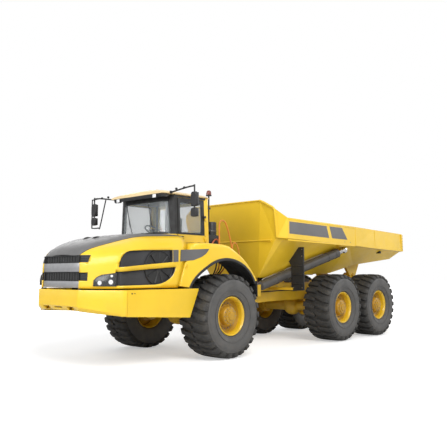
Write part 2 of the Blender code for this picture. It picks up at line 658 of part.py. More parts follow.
def cab_inside():
    """Driver's seat, dashboard and steering wheel."""
    floor = CAB_BASE_Z + 0.08 + GAP
    seat_edge = [(0.20, floor), (0.46, floor), (0.46, floor + 0.26), (0.60, floor + 0.28),
                 (0.60, floor + 0.41), (0.26, floor + 0.39), (0.17, floor + 1.02), (0.06, floor + 1.02),
                 (0.12, floor + 0.29), (0.20, floor + 0.26)]
    finish(soften(outline("driver_seat", seat_edge, SIDE_VIEW, -0.25, 0.25), 0.03), CLOTH)
    dash_edge = [(0.84, floor), (1.02, floor), (1.02, SILL_Z + 0.02), (0.88, SILL_Z + 0.02),
                 (0.80, SILL_Z - 0.10)]
    finish(outline("dashboard", dash_edge, SIDE_VIEW, -0.50, 0.50), BLACK)
    centre = Vector((0.765, 0.0, SILL_Z + 0.11))
    lean = Vector((-0.5, 0, 0.866))
    ring = turned("steering_wheel", [(0.20 + 0.016 * math.cos(a), 0.016 * math.sin(a)) for a in
                                     (math.radians(90 - 60 * i) for i in range(6))], centre, lean, 20)
    column = rod("steering_column", centre + lean * 0.004, centre - lean * 0.24, 0.03, segments=10)
    clear = outline("dash_clear", offset_outline(dash_edge, -GAP), SIDE_VIEW, -0.50, 0.50, cutter=True)
    spokes = [rod("spoke_across", centre + Vector((0, -0.195, 0)), centre + Vector((0, 0.195, 0)), 0.011,
                  segments=8), column]
    combine(ring, spokes)
    finish(combine(ring, [clear], "DIFFERENCE"), BLACK)


# ---------------------------------------------------------------- fittings
def mirror(side, sign, x):
    """A mirror on a bent arm from the roof's front corner."""
    y = sign * 1.60
    housing = box(f"mirror_{side}", (x - 0.06, y - 0.10, 2.86), (x + 0.04, y + 0.10, 3.42))
    root_x, root_y = CAB_NOSE_X - 0.05, CAB_ROOF_HALF_WIDTH + 0.05 + GAP
    bends = [(root_x, sign * root_y, CAB_TOP_Z + 0.03), (root_x, sign * (root_y + 0.06), CAB_TOP_Z + 0.03),
             (x, sign * 1.35, 3.50), (x, y, 3.52), (x, y, 3.36)]
    arm = tube(f"mirror_arm_{side}", bends, 0.018)
    finish(combine(housing, [arm]), BLACK)


def beacon():
    """A beacon on a post at the cab's rear left corner."""
    x, y = CAB_REAR_X - 0.11, 0.80
    post = rod("beacon_post", (x, y, 2.70), (x, y, 3.50), 0.018, segments=12)
    foot = box("beacon_foot", (x - 0.03, y - 0.03, 2.70), (CAB_REAR_X - GAP, y + 0.03, 2.76))
    arm = box("beacon_arm", (x - 0.03, y - 0.03, 3.20), (CAB_REAR_X - GAP, y + 0.03, 3.24))
    finish(combine(post, [foot, arm]), BLACK)
    foot_z = 3.50 + GAP
    lamp = turned("beacon_lamp", [(0, 3.63), (0.045, 3.62), (0.06, 3.58), (0.065, foot_z), (0, foot_z)],
                  (x, y, 0), (0, 0, 1), 16)
    finish(lamp, ORANGE)


def rear_fittings():
    """Air cleaner and exhaust stack behind the cab."""
    x = CAB_REAR_X - GAP
    case = box("air_cleaner", (x - 0.42, -0.10, 2.30), (x, 0.62, 2.72))
    finish(soften(case, 0.04, 2), BLACK)
    stack = rod("exhaust_stack", (x - 0.16, -0.62, 2.10), (x - 0.16, -0.62, 3.40), 0.075)
    strap = box("exhaust_strap", (x - 0.12, -0.66, 2.60), (x, -0.58, 2.66))
    muffler = rod("muffler", (x - 0.16, -0.62, 2.06), (x - 0.16, -0.62, 2.70), 0.13)
    finish(combine(stack, [muffler, strap]), STEEL)


def fender_top(x):
    """Height of the fender's top at a place behind the cab's pillar."""
    for (front_x, front_z), (rear_x, rear_z) in zip(FENDER_TOP[2:], FENDER_TOP[3:]):
        if rear_x <= x <= front_x:
            return rear_z + (front_z - rear_z) * (x - rear_x) / (front_x - rear_x)
    return FENDER_TOP[-1][1]


def handrail(side, sign):
    """A handrail that rises from the fender behind the cab and comes down its rear slope."""
    y = sign * 1.10
    points = [(-0.20, y, fender_top(-0.184) + GAP), (-0.20, y, 2.85), (-0.24, y, 2.93), (-0.33, y, 2.94),
              (-0.41, y, 2.88), (-0.52, y, 2.62), (-0.62, y, 2.30), (-0.66, y, 2.05),
              (-0.66, y, fender_top(-0.644) + GAP)]
    rail = tube(f"handrail_{side}", points, 0.016)
    finish(rail, OCHRE)
    return rail


# ---------------------------------------------------------------- rear unit
def hitch(pivot):
    """The hitch: a sleeve on the steering pin with the roll bearing's spindle behind it."""
    sleeve = rod("steering_hitch", (HINGE_X, 0, 1.075 + GAP), (HINGE_X, 0, 1.365 - GAP), 0.15)
    spindle = rod("hitch_spindle", (HINGE_X - 0.10, 0, HITCH_Z), (HINGE_X - 0.72, 0, HITCH_Z), SPINDLE_RADIUS)
    bore = rod("hitch_bore", (HINGE_X, 0, 0.9), (HINGE_X, 0, 1.6), bore_radius(0.07), cutter=True)
    combine(sleeve, [spindle])
    finish(combine(sleeve, [bore], "DIFFERENCE"), BLACK, pivot)


def keel_z(x):
    """Height of the dump body's underside along its middle."""
    line = [section[0] for section in BODY_SECTIONS]
    for (front_x, _, front_z), (rear_x, _, rear_z) in zip(line, line[1:]):
        if rear_x <= x <= front_x:
            return rear_z + (front_z - rear_z) * (x - rear_x) / (front_x - rear_x)
    return line[0][2]


def rear_frame(pivot):
    """The rear frame: hitch tube, two beams, crossmembers, hoist brackets and tip hinge pins."""
    beams = {}
    for side, sign in SIDES:
        edge = [(-1.75, 1.02), (-1.75, 1.40), (-2.6, 1.52), (TIP_X + 0.75, 1.52),
                (TIP_X + 0.10, TIP_Z + 0.09), (TIP_X - 0.12, TIP_Z + 0.09), (TIP_X - 0.20, TIP_Z - 0.08),
                (TIP_X + 0.20, 1.20), (-5.9, 1.10), (-2.6, 1.06)]
        y = sign * FRAME_BEAM_Y
        beams[side] = outline("rear_frame" if sign > 0 else "beam_right", edge, SIDE_VIEW,
                              y - FRAME_BEAM_WIDTH / 2, y + FRAME_BEAM_WIDTH / 2)
    added = [beams["right"]]
    outer = FRAME_BEAM_Y + FRAME_BEAM_WIDTH / 2
    for name, x, length, low, high in (("cross_hitch", -1.90, 0.22, 1.03, 1.39),
                                       ("cross_middle", -3.40, 0.16, 1.14, 1.46),
                                       ("cross_bogie", BOGIE_X, 0.24, 1.12, 1.50),
                                       ("cross_tail", TIP_X - 0.06, 0.12, 1.50, 1.70)):
        added.append(box(name, (x - length / 2, -outer + 0.003, low), (x + length / 2, outer - 0.003, high)))
    added.append(rod("hitch_tube", (-1.52, 0, HITCH_Z), (-1.95, 0, HITCH_Z), 0.20))
    for side, sign in SIDES:
        foot = Vector((HOIST_FOOT.x, sign * HOIST_FOOT.y, HOIST_FOOT.z))
        plate = HOIST_BALL_RADIUS + GAP
        start, end = sorted((sign * (outer - 0.02), sign * (HOIST_FOOT.y - plate)))
        added.append(box(f"hoist_arm_{side}", (foot.x - 0.05, start, 1.28), (foot.x + 0.06, end, 1.52)))
        low, high = sorted((sign * (HOIST_FOOT.y + plate), sign * (HOIST_FOOT.y + plate + 0.03)))
        added.append(box(f"hoist_cheek_{side}", (foot.x - 0.05, low, 1.24), (foot.x + 0.06, high, 1.50)))
        low, high = sorted((sign * (outer - 0.02), sign * (HOIST_FOOT.y + plate + 0.03)))
        added.append(box(f"hoist_shelf_{side}", (foot.x - 0.06, low, 1.22), (foot.x + 0.06, high, 1.28)))
        start, end = sorted((sign * (outer - 0.02), sign * (outer + 0.12)))
        added.append(rod(f"tip_pin_{side}", (TIP_X, start, TIP_Z), (TIP_X, end, TIP_Z), TIP_PIN_RADIUS))
        pad = [(-3.15, 1.50), (-3.15, keel_z(-3.15) - GAP), (-3.35, keel_z(-3.35) - GAP), (-3.35, 1.50)]
        low, high = sorted((sign * (FRAME_BEAM_Y - 0.04), sign * (FRAME_BEAM_Y + 0.04)))
        added.append(outline(f"rest_pad_{side}", pad, SIDE_VIEW, low, high))
        start, end = sorted((sign * (outer - 0.02), sign * 1.24))
        added.append(box(f"guard_arm_{side}", (-2.72, start, 1.36), (-2.66, end, 1.42)))
        for x in (MIDDLE_AXLE_X, REAR_AXLE_X):
            low, high = sorted((sign * (FRAME_BEAM_Y - 0.05), sign * (FRAME_BEAM_Y + 0.05)))
            added.append(box(f"axle_stop_{side}_{x}", (x - 0.07, low, TYRE_RADIUS + AXLE_RADIUS + GAP),
                             (x + 0.07, high, 1.24)))
        low, high = sorted((sign * (STEER_EYE.y - 0.05), sign * (STEER_EYE.y + 0.07)))
        eye_floor = STEER_EYE.z - STEER_BARREL_RADIUS * 1.07 - CLEAR
        added.append(box(f"steer_eye_post_{side}", (-1.83, low, 1.34), (-1.76, high, eye_floor)))
        added.append(box(f"steer_eye_seat_{side}", (-1.83, low, eye_floor - 0.03),
                         (STEER_EYE.x + 0.05, high, eye_floor)))
    combine(beams["left"], added)
    bore = rod("spindle_bore", (-1.40, 0, HITCH_Z), (-2.02, 0, HITCH_Z), SPINDLE_RADIUS + GAP, cutter=True)
    finish(combine(beams["left"], [bore], "DIFFERENCE"), YELLOW, pivot)


def bogie(side, sign, pivot):
    """A bogie beam beside the frame that carries both rear axles on one side."""
    y = sign * (FRAME_BEAM_Y + FRAME_BEAM_WIDTH / 2 + GAP + 0.07)
    seat = TYRE_RADIUS + AXLE_RADIUS + GAP
    half = [(MIDDLE_AXLE_X + 0.18, seat), (MIDDLE_AXLE_X + 0.18, 1.12), (BOGIE_X + 0.25, 1.30)]
    lower = [(BOGIE_X + 0.2, 0.90), (MIDDLE_AXLE_X - 0.22, seat)]
    edge = half + [(2 * BOGIE_X - x, z) for x, z in reversed(half)]
    edge += [(2 * BOGIE_X - x, z) for x, z in reversed(lower)] + lower
    beam = outline(f"bogie_beam_{side}", edge, SIDE_VIEW, y - 0.07, y + 0.07)
    finish(beam, YELLOW, pivot)


def mudguard(side, sign, pivot):
    """The upright guard plate ahead of the bogie wheels, notched round the hoist cylinder."""
    plate = [(1.19, 1.33), (1.57, 1.36), (1.57, 2.42), (1.42, 2.42), (1.12, 2.07), (1.19, 1.97)]
    low = -2.72 - GAP - 0.03
    made = outline(f"mudguard_{side}", [(sign * y, z) for y, z in plate], FRONT_VIEW, low, low + 0.03)
    finish(made, BLACK, pivot)


# Dump body sections, front to tail. Columns: x and (y, z) of the floor's edge, of the ledge
# under the rail, of the rail's lower edge, of its top, and of the crown.
BODY_SECTIONS = (
    ((-1.90, 0.80, 1.67), (-1.83, 1.38, 2.57), (-1.82, 1.45, 2.62), (-1.66, 1.50, 3.30), (-1.60, 1.12, 3.52)),
    ((-2.25, 0.80, 1.67), (-2.02, 1.45, 2.57), (-2.00, BODY_HALF_WIDTH, 2.60), (-2.00, BODY_HALF_WIDTH, 3.09),
     (-2.00, 1.12, 3.09)),
    ((-3.675, 0.80, 1.73), (-3.56, 1.45, 2.545), (-3.55, BODY_HALF_WIDTH, 2.57),
     (-3.55, BODY_HALF_WIDTH, 3.075),
     (-3.55, 1.12, 3.075)),
    ((-5.10, 0.80, 1.79), (-5.10, 1.45, 2.52), (-5.10, BODY_HALF_WIDTH, 2.54), (-5.10, BODY_HALF_WIDTH, 3.06),
     (-5.10, 1.12, 3.06)),
    ((-6.25, 0.88, 2.03), (-6.25, 1.45, 2.48), (-6.25, BODY_HALF_WIDTH, 2.50), (-6.25, 1.61, 3.04),
     (-6.25, 1.12, 3.04)),
    ((TAIL_X, 1.12, 2.24), (TAIL_X, 1.46, 2.45), (TAIL_X, 1.60, 2.47), (TAIL_X, 1.57, 3.01),
     (TAIL_X, 1.12, 3.01)))
LOAD_TOP = 4.2


def cavity_ring(section, shift):
    """The load space's ring inside a body section, open above."""
    floor, ledge, low_rail, top, crown = section
    half = [(crown[0] + shift, crown[1], LOAD_TOP), (top[0] + shift, top[1] - BODY_RAIL, LOAD_TOP),
            (low_rail[0] + shift, low_rail[1] - BODY_RAIL, low_rail[2] + 0.08),
            (ledge[0] + shift, ledge[1] - 0.055, ledge[2] + 0.02),
            (floor[0] + shift, floor[1] - 0.03, floor[2] + BODY_SKIN)]
    return mirrored_ring(half)


def dump_body(pivot):
    """The open dump body with its spill guard, tip hinge ears and hoist brackets."""
    rings = []
    for section in BODY_SECTIONS:
        floor, ledge, low_rail, top, crown = section
        rings.append(mirrored_ring([crown, top, low_rail, ledge, floor]))
    shell = loft("dump_body", rings)
    cavity = [cavity_ring(BODY_SECTIONS[0], -0.06)]
    cavity += [cavity_ring(section, 0.0) for section in BODY_SECTIONS[1:-1]]
    cavity.append(cavity_ring(BODY_SECTIONS[-1], -0.4))
    cavity.insert(-1, cavity_ring(BODY_SECTIONS[-1], 0.0))
    combine(shell, [loft("load_space", cavity, cutter=True)], "DIFFERENCE")
    added = []
    ear_y = FRAME_BEAM_Y + FRAME_BEAM_WIDTH / 2 + CLEAR
    for side, sign in SIDES:
        ear = [(TIP_X + 0.50, 2.08), (TIP_X + 0.12, TIP_Z - 0.06), (TIP_X + 0.05, TIP_Z - 0.13),
               (TIP_X - 0.05, TIP_Z - 0.13), (TIP_X - 0.12, TIP_Z - 0.06), (TIP_X - 0.40, 2.13)]
        low, high = sorted((sign * ear_y, sign * (ear_y + 0.08)))
        added.append(outline(f"tip_ear_{side}", ear, SIDE_VIEW, low, high))
        eye = HOIST_EYE
        beside = eye.y - HOIST_BALL_RADIUS - CLEAR
        low, high = sorted((sign * (beside - 0.03), sign * beside))
        bracket = [(eye.x - 0.16, eye.z + 0.10), (eye.x + 0.16, eye.z + 0.10), (eye.x + 0.10, eye.z - 0.10),
                   (eye.x - 0.10, eye.z - 0.10)]
        added.append(outline(f"hoist_bracket_{side}", bracket, SIDE_VIEW, low, high))
    for index, x in enumerate((-2.9, -3.7, -4.5, -5.3, -6.1)):
        keel = keel_z(x)
        added.append(box(f"floor_rib_{index}", (x - 0.05, -0.60, keel - 0.03), (x + 0.05, 0.60, keel + 0.05)))
    combine(shell, added)
    bores = [rod(f"tip_bore_{side}", (TIP_X, sign * 0.3, TIP_Z), (TIP_X, sign * 0.9, TIP_Z),
                 bore_radius(TIP_PIN_RADIUS), cutter=True) for side, sign in SIDES]
    finish(combine(shell, bores, "DIFFERENCE"), YELLOW, pivot)


# ---------------------------------------------------------------- cylinders
def cylinder_pair(name, foot, eye, barrel_pivot, rod_pivot, sizes):
    """A barrel with its ball foot and a rod with its ball eye, both on the foot's line.

    sizes: barrel radius, rod radius, ball radius, eye's distance beyond the gland, wall,
    and the piston's distance from the barrel's bottom."""
    barrel_radius, rod_radius, ball_radius, stand, wall, retract = sizes
    run = eye - foot
    length = run.length
    gland = length - stand
    bore, bottom, gland_length = barrel_radius - wall, ball_radius + 0.10, 0.10
    foot_z = math.sqrt(ball_radius ** 2 - (0.5 * ball_radius) ** 2)
    ball_arc = [(ball_radius * math.sin(math.radians(a)), -ball_radius * math.cos(math.radians(a)))
                for a in (30, 60, 90, 120)]
    outside = [(0.5 * ball_radius, foot_z + 0.001), (barrel_radius, bottom - 0.03),
               (barrel_radius, gland - 0.12), (barrel_radius * 1.07, gland - 0.12),
               (barrel_radius * 1.07, gland), (rod_radius + GAP, gland),
               (rod_radius + GAP, gland - gland_length)]
    inside = [(bore, gland - gland_length), (bore, bottom), (0, bottom)]
    profile = [(0, -ball_radius), *ball_arc, *outside, *inside]
    barrel = turned(f"{name}_barrel", list(reversed(profile)), foot, run, ROUND_SEGMENTS)
    piston_low = bottom + retract
    piston = bore - GAP
    eye_arc = [(ball_radius * math.sin(math.radians(a)), length + ball_radius * math.cos(math.radians(a)))
               for a in (30, 60, 90, 120)]
    neck = length - math.sqrt(ball_radius ** 2 - (rod_radius * 0.7) ** 2)
    profile = [(0, length + ball_radius), *eye_arc, (rod_radius * 0.7, neck - 0.002),
               (rod_radius, neck - 0.03), (rod_radius, piston_low + 0.06), (piston, piston_low + 0.06),
               (piston, piston_low), (0, piston_low)]
    plunger = turned(f"{name}_rod", profile, foot, run, ROUND_SEGMENTS)
    finish(barrel, STEEL, barrel_pivot)
    finish(plunger, CHROME, rod_pivot)


# ---------------------------------------------------------------- wheels
def wheel(name, x, sign, pivot):
    """One wheel: tyre shell and rim with its planetary hub, the outside facing +Y or -Y."""
    half, outer = TYRE_WIDTH / 2, TYRE_RADIUS
    tyre_profile = [(outer, 0.0), (outer - 0.004, -half * 0.72), (outer - 0.05, -half * 0.96),
                    (outer - 0.22, -half), (RIM_RADIUS + 0.04, -half + 0.07),
                    (RIM_RADIUS + GAP, -half + 0.11), (RIM_RADIUS + GAP, half - 0.11),
                    (RIM_RADIUS + 0.04, half - 0.07), (outer - 0.22, half), (outer - 0.05, half * 0.96),
                    (outer - 0.004, half * 0.72)]
    centre = (x, sign * TRACK / 2, TYRE_RADIUS)
    tyre = turned(f"{name}_tyre", tyre_profile, centre, (0, 1, 0), WHEEL_SEGMENTS)
    finish(tyre, RUBBER, pivot)
    face, flange = RIM_WIDTH / 2, RIM_RADIUS
    rim_profile = [(0, face + 0.03), (HUB_RADIUS - 0.02, face + 0.03), (HUB_RADIUS, 0.20),
                  (flange - 0.09, 0.16),
                   (flange - 0.04, face), (flange, face), (flange, -face), (flange - 0.05, -face),
                   (flange - 0.06, -0.02), (0.235, -HUB_DEPTH + GAP), (0, -HUB_DEPTH + GAP)]
    if sign < 0:
        rim_profile = [(radius, -height) for radius, height in reversed(rim_profile)]
    rim = turned(f"{name}_rim", rim_profile, centre, (0, 1, 0), WHEEL_SEGMENTS)
    finish(rim, YELLOW, pivot)


# ---------------------------------------------------------------- assembly
front_frame()
front_axle()
engine()
bumper()
hood_hinge = empty("hood_hinge", (3.07, 0.0, HOOD_BOTTOM_Z), TRUCK)
hood(hood_hinge)
grille(hood_hinge)
door_hinge = empty("door_hinge", (DOOR_REAR_X, DOOR_HINGE_Y, DOOR_BOTTOM_Z), TRUCK)
cab_shell()
cab_roof()
door(door_hinge)
cab_glass()
cab_inside()
beacon()
rear_fittings()
for side_name, side_sign in SIDES:
    side_panel(side_name, side_sign)
    fender(side_name, side_sign)
    headlight(side_name, side_sign, hood_hinge)
    handrail(side_name, side_sign)
    mirror(side_name, side_sign, 1.05 if side_sign > 0 else 1.22)

steering_hinge = empty("steering_hinge", (HINGE_X, 0.0, HITCH_Z), TRUCK)
hitch(steering_hinge)
rear_frame(steering_hinge)
tip_hinge = empty("tip_hinge", (TIP_X, 0.0, TIP_Z), TRUCK)
dump_body(tip_hinge)
for axle_name, axle_x in (("middle", MIDDLE_AXLE_X), ("rear", REAR_AXLE_X)):
    main, extras = axle(f"{axle_name}_axle", axle_x)
    finish(combine(main, extras), YELLOW, steering_hinge)
for side_name, side_sign in SIDES:
    bogie(side_name, side_sign, steering_hinge)
    mudguard(side_name, side_sign, steering_hinge)
    mirror_y = Matrix.Diagonal((1, side_sign, 1))
    hoist_pivot = empty(f"hoist_hinge_{side_name}", mirror_y @ HOIST_FOOT, TRUCK)
    cylinder_pair(f"hoist_{side_name}", mirror_y @ HOIST_FOOT, mirror_y @ HOIST_EYE, hoist_pivot, hoist_pivot,
                  (HOIST_BARREL_RADIUS, HOIST_ROD_RADIUS, HOIST_BALL_RADIUS, 0.28, 0.025, 0.02))
    steer_pivot = empty(f"steer_cylinder_hinge_{side_name}", mirror_y @ STEER_FOOT, TRUCK)
    cylinder_pair(f"steer_{side_name}", mirror_y @ STEER_FOOT, mirror_y @ STEER_EYE, steer_pivot, steer_pivot,
                  (STEER_BARREL_RADIUS, STEER_ROD_RADIUS, STEER_BALL_RADIUS, 0.40, 0.012, 0.29))
    for axle_name, axle_x in (("front", 0.0), ("middle", MIDDLE_AXLE_X), ("rear", REAR_AXLE_X)):
        hub = empty(f"{axle_name}_{side_name}_hub", (axle_x, side_sign * TRACK / 2, TYRE_RADIUS), TRUCK)
        wheel(f"{axle_name}_{side_name}", axle_x, side_sign, hub)
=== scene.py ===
import math

import bmesh
import bpy
from mathutils import Matrix, Vector


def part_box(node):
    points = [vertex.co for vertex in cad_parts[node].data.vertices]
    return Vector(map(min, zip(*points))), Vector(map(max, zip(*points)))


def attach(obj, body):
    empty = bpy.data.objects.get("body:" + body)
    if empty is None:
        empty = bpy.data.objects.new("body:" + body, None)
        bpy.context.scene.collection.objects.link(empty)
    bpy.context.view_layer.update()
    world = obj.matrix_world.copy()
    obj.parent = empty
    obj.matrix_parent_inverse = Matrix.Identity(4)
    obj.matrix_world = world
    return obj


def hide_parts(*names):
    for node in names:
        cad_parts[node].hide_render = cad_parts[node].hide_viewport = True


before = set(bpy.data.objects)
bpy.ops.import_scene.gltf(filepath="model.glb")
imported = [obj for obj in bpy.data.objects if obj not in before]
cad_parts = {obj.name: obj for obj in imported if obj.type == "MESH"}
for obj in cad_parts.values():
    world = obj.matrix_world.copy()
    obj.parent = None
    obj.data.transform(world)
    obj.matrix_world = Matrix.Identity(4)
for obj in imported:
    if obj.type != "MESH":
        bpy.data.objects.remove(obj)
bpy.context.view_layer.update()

SCENE = bpy.context.scene


def centre(node):
    low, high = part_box(node)
    return (low + high) / 2


AXLE = centre("front_left_rim").x           # the front axle's place along X
SIDES = (("left", 1), ("right", -1))


# ---------------------------------------------------------------- materials
def feed(tree, socket, value):
    """Links a socket to another node's output, or sets its value."""
    if isinstance(value, bpy.types.NodeSocket):
        tree.links.new(value, socket)
    else:
        socket.default_value = value


def new_node(tree, kind, values=None, **settings):
    """A shader node with its settings and its inputs, which are values or other nodes' outputs."""
    made = tree.nodes.new("ShaderNode" + kind)
    for key, value in settings.items():
        setattr(made, key, value)
    for key, value in (values or {}).items():
        feed(tree, made.inputs[key], value)
    return made


def math_node(tree, operation, first, second):
    return new_node(tree, "Math", {0: first, 1: second}, operation=operation).outputs[0]


def spread(tree, source, low, high, start=0.35, end=0.65, **settings):
    """Maps the range start to end of a value on to low to high."""
    limits = {"Value": source, "From Min": start, "From Max": end, "To Min": low, "To Max": high}
    return new_node(tree, "MapRange", limits, **settings).outputs["Result"]


def mixed(tree, amount, first, other):
    """A blend of two colours."""
    blend = new_node(tree, "Mix", data_type="RGBA")
    feed(tree, blend.inputs["Factor"], amount)
    for socket, value in zip([s for s in blend.inputs if s.type == "RGBA"], (first, other)):
        feed(tree, socket, value if isinstance(value, bpy.types.NodeSocket) else (*value, 1.0))
    return [s for s in blend.outputs if s.type == "RGBA"][0]


def bumped(tree, height, strength, distance):
    values = {"Strength": strength, "Distance": distance, "Height": height}
    return new_node(tree, "Bump", values).outputs["Normal"]


def principled(name):
    made = bpy.data.materials.new(name)
    made.use_nodes = True
    return made, made.node_tree, made.node_tree.nodes["Principled BSDF"].inputs


def coloured(name, colour, rough=(0.35, 0.5), vary=0.06, scale=3.0, metal=0.0, bump=0.02, grain=220.0,
             dust=0.0, coat=0.0, second=None, alpha=1.0, sheen=0.0, spots=0.0):
    """A paint, rubber, metal or plastic: colour drift, worn roughness, fine bump and road dust."""
    made, tree, shader = principled(name)
    place = new_node(tree, "TexCoord").outputs["Object"]

    def noise_of(size, detail=4.0):
        return new_node(tree, "TexNoise", {"Scale": size, "Detail": detail, "Vector": place}).outputs["Fac"]

    other = second or tuple(min(1.0, c * (1 - vary * 2)) for c in colour)
    look = mixed(tree, spread(tree, noise_of(scale), 0.0, 1.0), colour, other)
    if spots:
        look = mixed(tree, spread(tree, noise_of(60.0, 2.0), 0.0, spots, 0.60, 0.72), look,
                     (0.16, 0.14, 0.12))
    if dust:
        height = new_node(tree, "SeparateXYZ", {"Vector": place}).outputs["Z"]
        cloud = math_node(tree, "MULTIPLY", spread(tree, height, 1.0, 0.0, 0.2, 1.5),
                          spread(tree, noise_of(7.0), 0.0, dust))
        look = mixed(tree, cloud, look, (0.36, 0.30, 0.22))
    for key, value in (("Base Color", look), ("Roughness", spread(tree, noise_of(9.0), *rough)),
                       ("Metallic", metal), ("Alpha", alpha), ("Coat Weight", coat), ("Coat Roughness", 0.08),
                       ("Sheen Weight", sheen)):
        feed(tree, shader[key], value)
    if bump:
        feed(tree, shader["Normal"], bumped(tree, noise_of(grain, 3.0), min(1.0, bump * 8), bump * 0.02))
    return made


def darkened(name, paint, dark, above, ahead):
    """A paint that turns dark above a height and ahead of a place, as on the cab's front pillars."""
    made = paint.copy()
    made.name = name
    tree = made.node_tree
    base = tree.nodes["Principled BSDF"].inputs["Base Color"]
    split = new_node(tree, "SeparateXYZ", {"Vector": tree.nodes["Texture Coordinate"].outputs["Object"]})
    over = [math_node(tree, "GREATER_THAN", split.outputs[axis], limit)
            for axis, limit in (("Z", above), ("X", ahead))]
    feed(tree, base, mixed(tree, math_node(tree, "MULTIPLY", *over), base.links[0].from_socket, dark))
    return made


def grid_material(name, colour, dark, pitch):
    """A perforated sheet: rows of dark holes in a painted plate."""
    made = coloured(name, colour, rough=(0.4, 0.55), bump=0)
    tree = made.node_tree
    shader = tree.nodes["Principled BSDF"].inputs
    cells = new_node(tree, "TexVoronoi", {"Scale": 1 / pitch, "Randomness": 0.0,
                                          "Vector": tree.nodes["Texture Coordinate"].outputs["Object"]})
    edge = spread(tree, cells.outputs["Distance"], 0.0, 1.0, 0.36, 0.44)
    feed(tree, shader["Base Color"], mixed(tree, edge, dark, shader["Base Color"].links[0].from_socket))
    feed(tree, shader["Normal"], bumped(tree, edge, 0.5, 0.004))
    return made


def glass_material(name, tint, alpha, rough=0.03):
    made = coloured(name, tint, rough=(rough, rough + 0.04), vary=0.05, bump=0, alpha=alpha)
    made.node_tree.nodes["Principled BSDF"].inputs["Specular IOR Level"].default_value = 0.6
    return made


YELLOW = coloured("yellow_paint", (0.84, 0.545, 0.020), (0.28, 0.42), 0.04, 1.6, coat=0.20, dust=0.05,
                  bump=0.004,
                  grain=90.0)
BODY_YELLOW = coloured("body_yellow_paint", (0.84, 0.545, 0.022), (0.36, 0.50), 0.045, 1.1, coat=0.08,
                       dust=0.04,
                       bump=0.006, grain=60.0, spots=0.05)
CHASSIS = coloured("chassis_yellow", (0.74, 0.45, 0.018), (0.36, 0.55), 0.08, 2.5, dust=0.22, bump=0.010,
                   grain=70.0, spots=0.12)
# painted shade: the yellow hub darkened to ochre where its disc sits recessed, with some real road dust
HUB_PAINTED_SHADE = coloured("hub_painted_shade", (0.50, 0.27, 0.006), (0.38, 0.55), 0.10, 8.0, dust=0.10, bump=0.010, grain=80.0)
RING = coloured("rim_yellow", (0.80, 0.50, 0.012), (0.28, 0.42), 0.05, 5.0, dust=0.06, bump=0.005, coat=0.2)
ORANGE = coloured("rail_orange", (0.68, 0.22, 0.02), (0.35, 0.5), 0.08, 9.0, bump=0.01)
GREY = coloured("hood_dark_silver", (0.125, 0.123, 0.123), (0.46, 0.56), 0.06, 1.4, bump=0.003, grain=120.0)
SILVER = coloured("grille_silver", (0.30, 0.30, 0.31), (0.30, 0.42), 0.05, 9.0, metal=0.35, bump=0.003,
                  grain=120.0)
DECAL = coloured("blank_panel_grey", (0.105, 0.103, 0.104), (0.42, 0.50), 0.05, 2.0, bump=0.004, grain=160.0)
BLACK = coloured("black_plastic", (0.012, 0.012, 0.013), (0.45, 0.62), 0.12, 6.0, bump=0.02, grain=260.0)
FRAME = coloured("frame_black", (0.018, 0.017, 0.016), (0.45, 0.7), 0.15, 4.0, dust=0.25, bump=0.02,
                 grain=90.0)
SEAL = coloured("window_rubber", (0.008, 0.008, 0.008), (0.5, 0.7), 0.1, 12.0, bump=0.01)
STEEL = coloured("barrel_grey", (0.10, 0.095, 0.09), (0.30, 0.45), 0.10, 5.0, metal=0.4, bump=0.012, dust=0.1)
CHROME = coloured("polished_rod", (0.62, 0.61, 0.60), (0.08, 0.18), 0.05, 6.0, metal=1.0, bump=0.002)
BOLT = coloured("zinc_bolt", (0.30, 0.28, 0.24), (0.35, 0.5), 0.10, 30.0, metal=0.8, bump=0.01)
TREAD = coloured("tread_rubber", (0.024, 0.024, 0.024), (0.65, 0.85), 0.15, 5.0, bump=0.04, grain=60.0,
                 dust=0.05,
                 second=(0.036, 0.035, 0.034))
WALL = coloured("sidewall_rubber", (0.066, 0.065, 0.064), (0.60, 0.75), 0.10, 3.0, bump=0.012, grain=40.0,
                dust=0.04,
                second=(0.085, 0.083, 0.081))
MESH = grid_material("dark_mesh", (0.030, 0.030, 0.033), (0.003, 0.003, 0.003), 0.022)
FINE_MESH = grid_material("grille_mesh", (0.030, 0.030, 0.032), (0.002, 0.002, 0.002), 0.016)
ROOF = coloured("roof_cream", (0.86, 0.66, 0.36), (0.35, 0.5), 0.06, 3.0, bump=0.008, coat=0.1)
GLASS = glass_material("window_glass", (0.42, 0.47, 0.48), 0.22)
LENS = glass_material("lamp_lens", (0.035, 0.036, 0.038), 0.85, 0.20)
WHITE = coloured("lamp_white", (0.86, 0.87, 0.88), (0.12, 0.22), 0.03, 40.0, bump=0.004)
MIRROR = coloured("mirror_glass", (0.70, 0.72, 0.74), (0.02, 0.05), 0.02, 4.0, metal=1.0, bump=0)
BEACON = coloured("beacon_red", (0.20, 0.045, 0.025), (0.10, 0.2), 0.12, 20.0, alpha=0.92, bump=0.01)
HOSE = coloured("orange_hose", (0.45, 0.10, 0.03), (0.4, 0.55), 0.1, 20.0, bump=0.03, grain=180.0)
CLOTH = coloured("seat_weave", (0.030, 0.031, 0.034), (0.8, 0.95), 0.2, 30.0, bump=0.08, grain=420.0,
                 sheen=0.3,
                 second=(0.050, 0.052, 0.056))


# ---------------------------------------------------------------- mesh building
def at(x, y, z):
    """A place given from the front axle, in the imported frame."""
    return Vector((AXLE + x, y, z))


def eased(points, steps):
    """A smooth curve through the points."""
    points = [Vector(p) for p in points]
    ends = [2 * points[0] - points[1]] + points + [2 * points[-1] - points[-2]]
    out = []
    for a, b, c, d in zip(ends, ends[1:], ends[2:], ends[3:]):
        for i in range(steps):
            t = i / steps
            out.append(0.5 * (2 * b + (c - a) * t + (2 * a - 5 * b + 4 * c - d) * t * t
                              + (3 * b - a - 3 * c + d) * t ** 3))
    return out + [points[-1]]


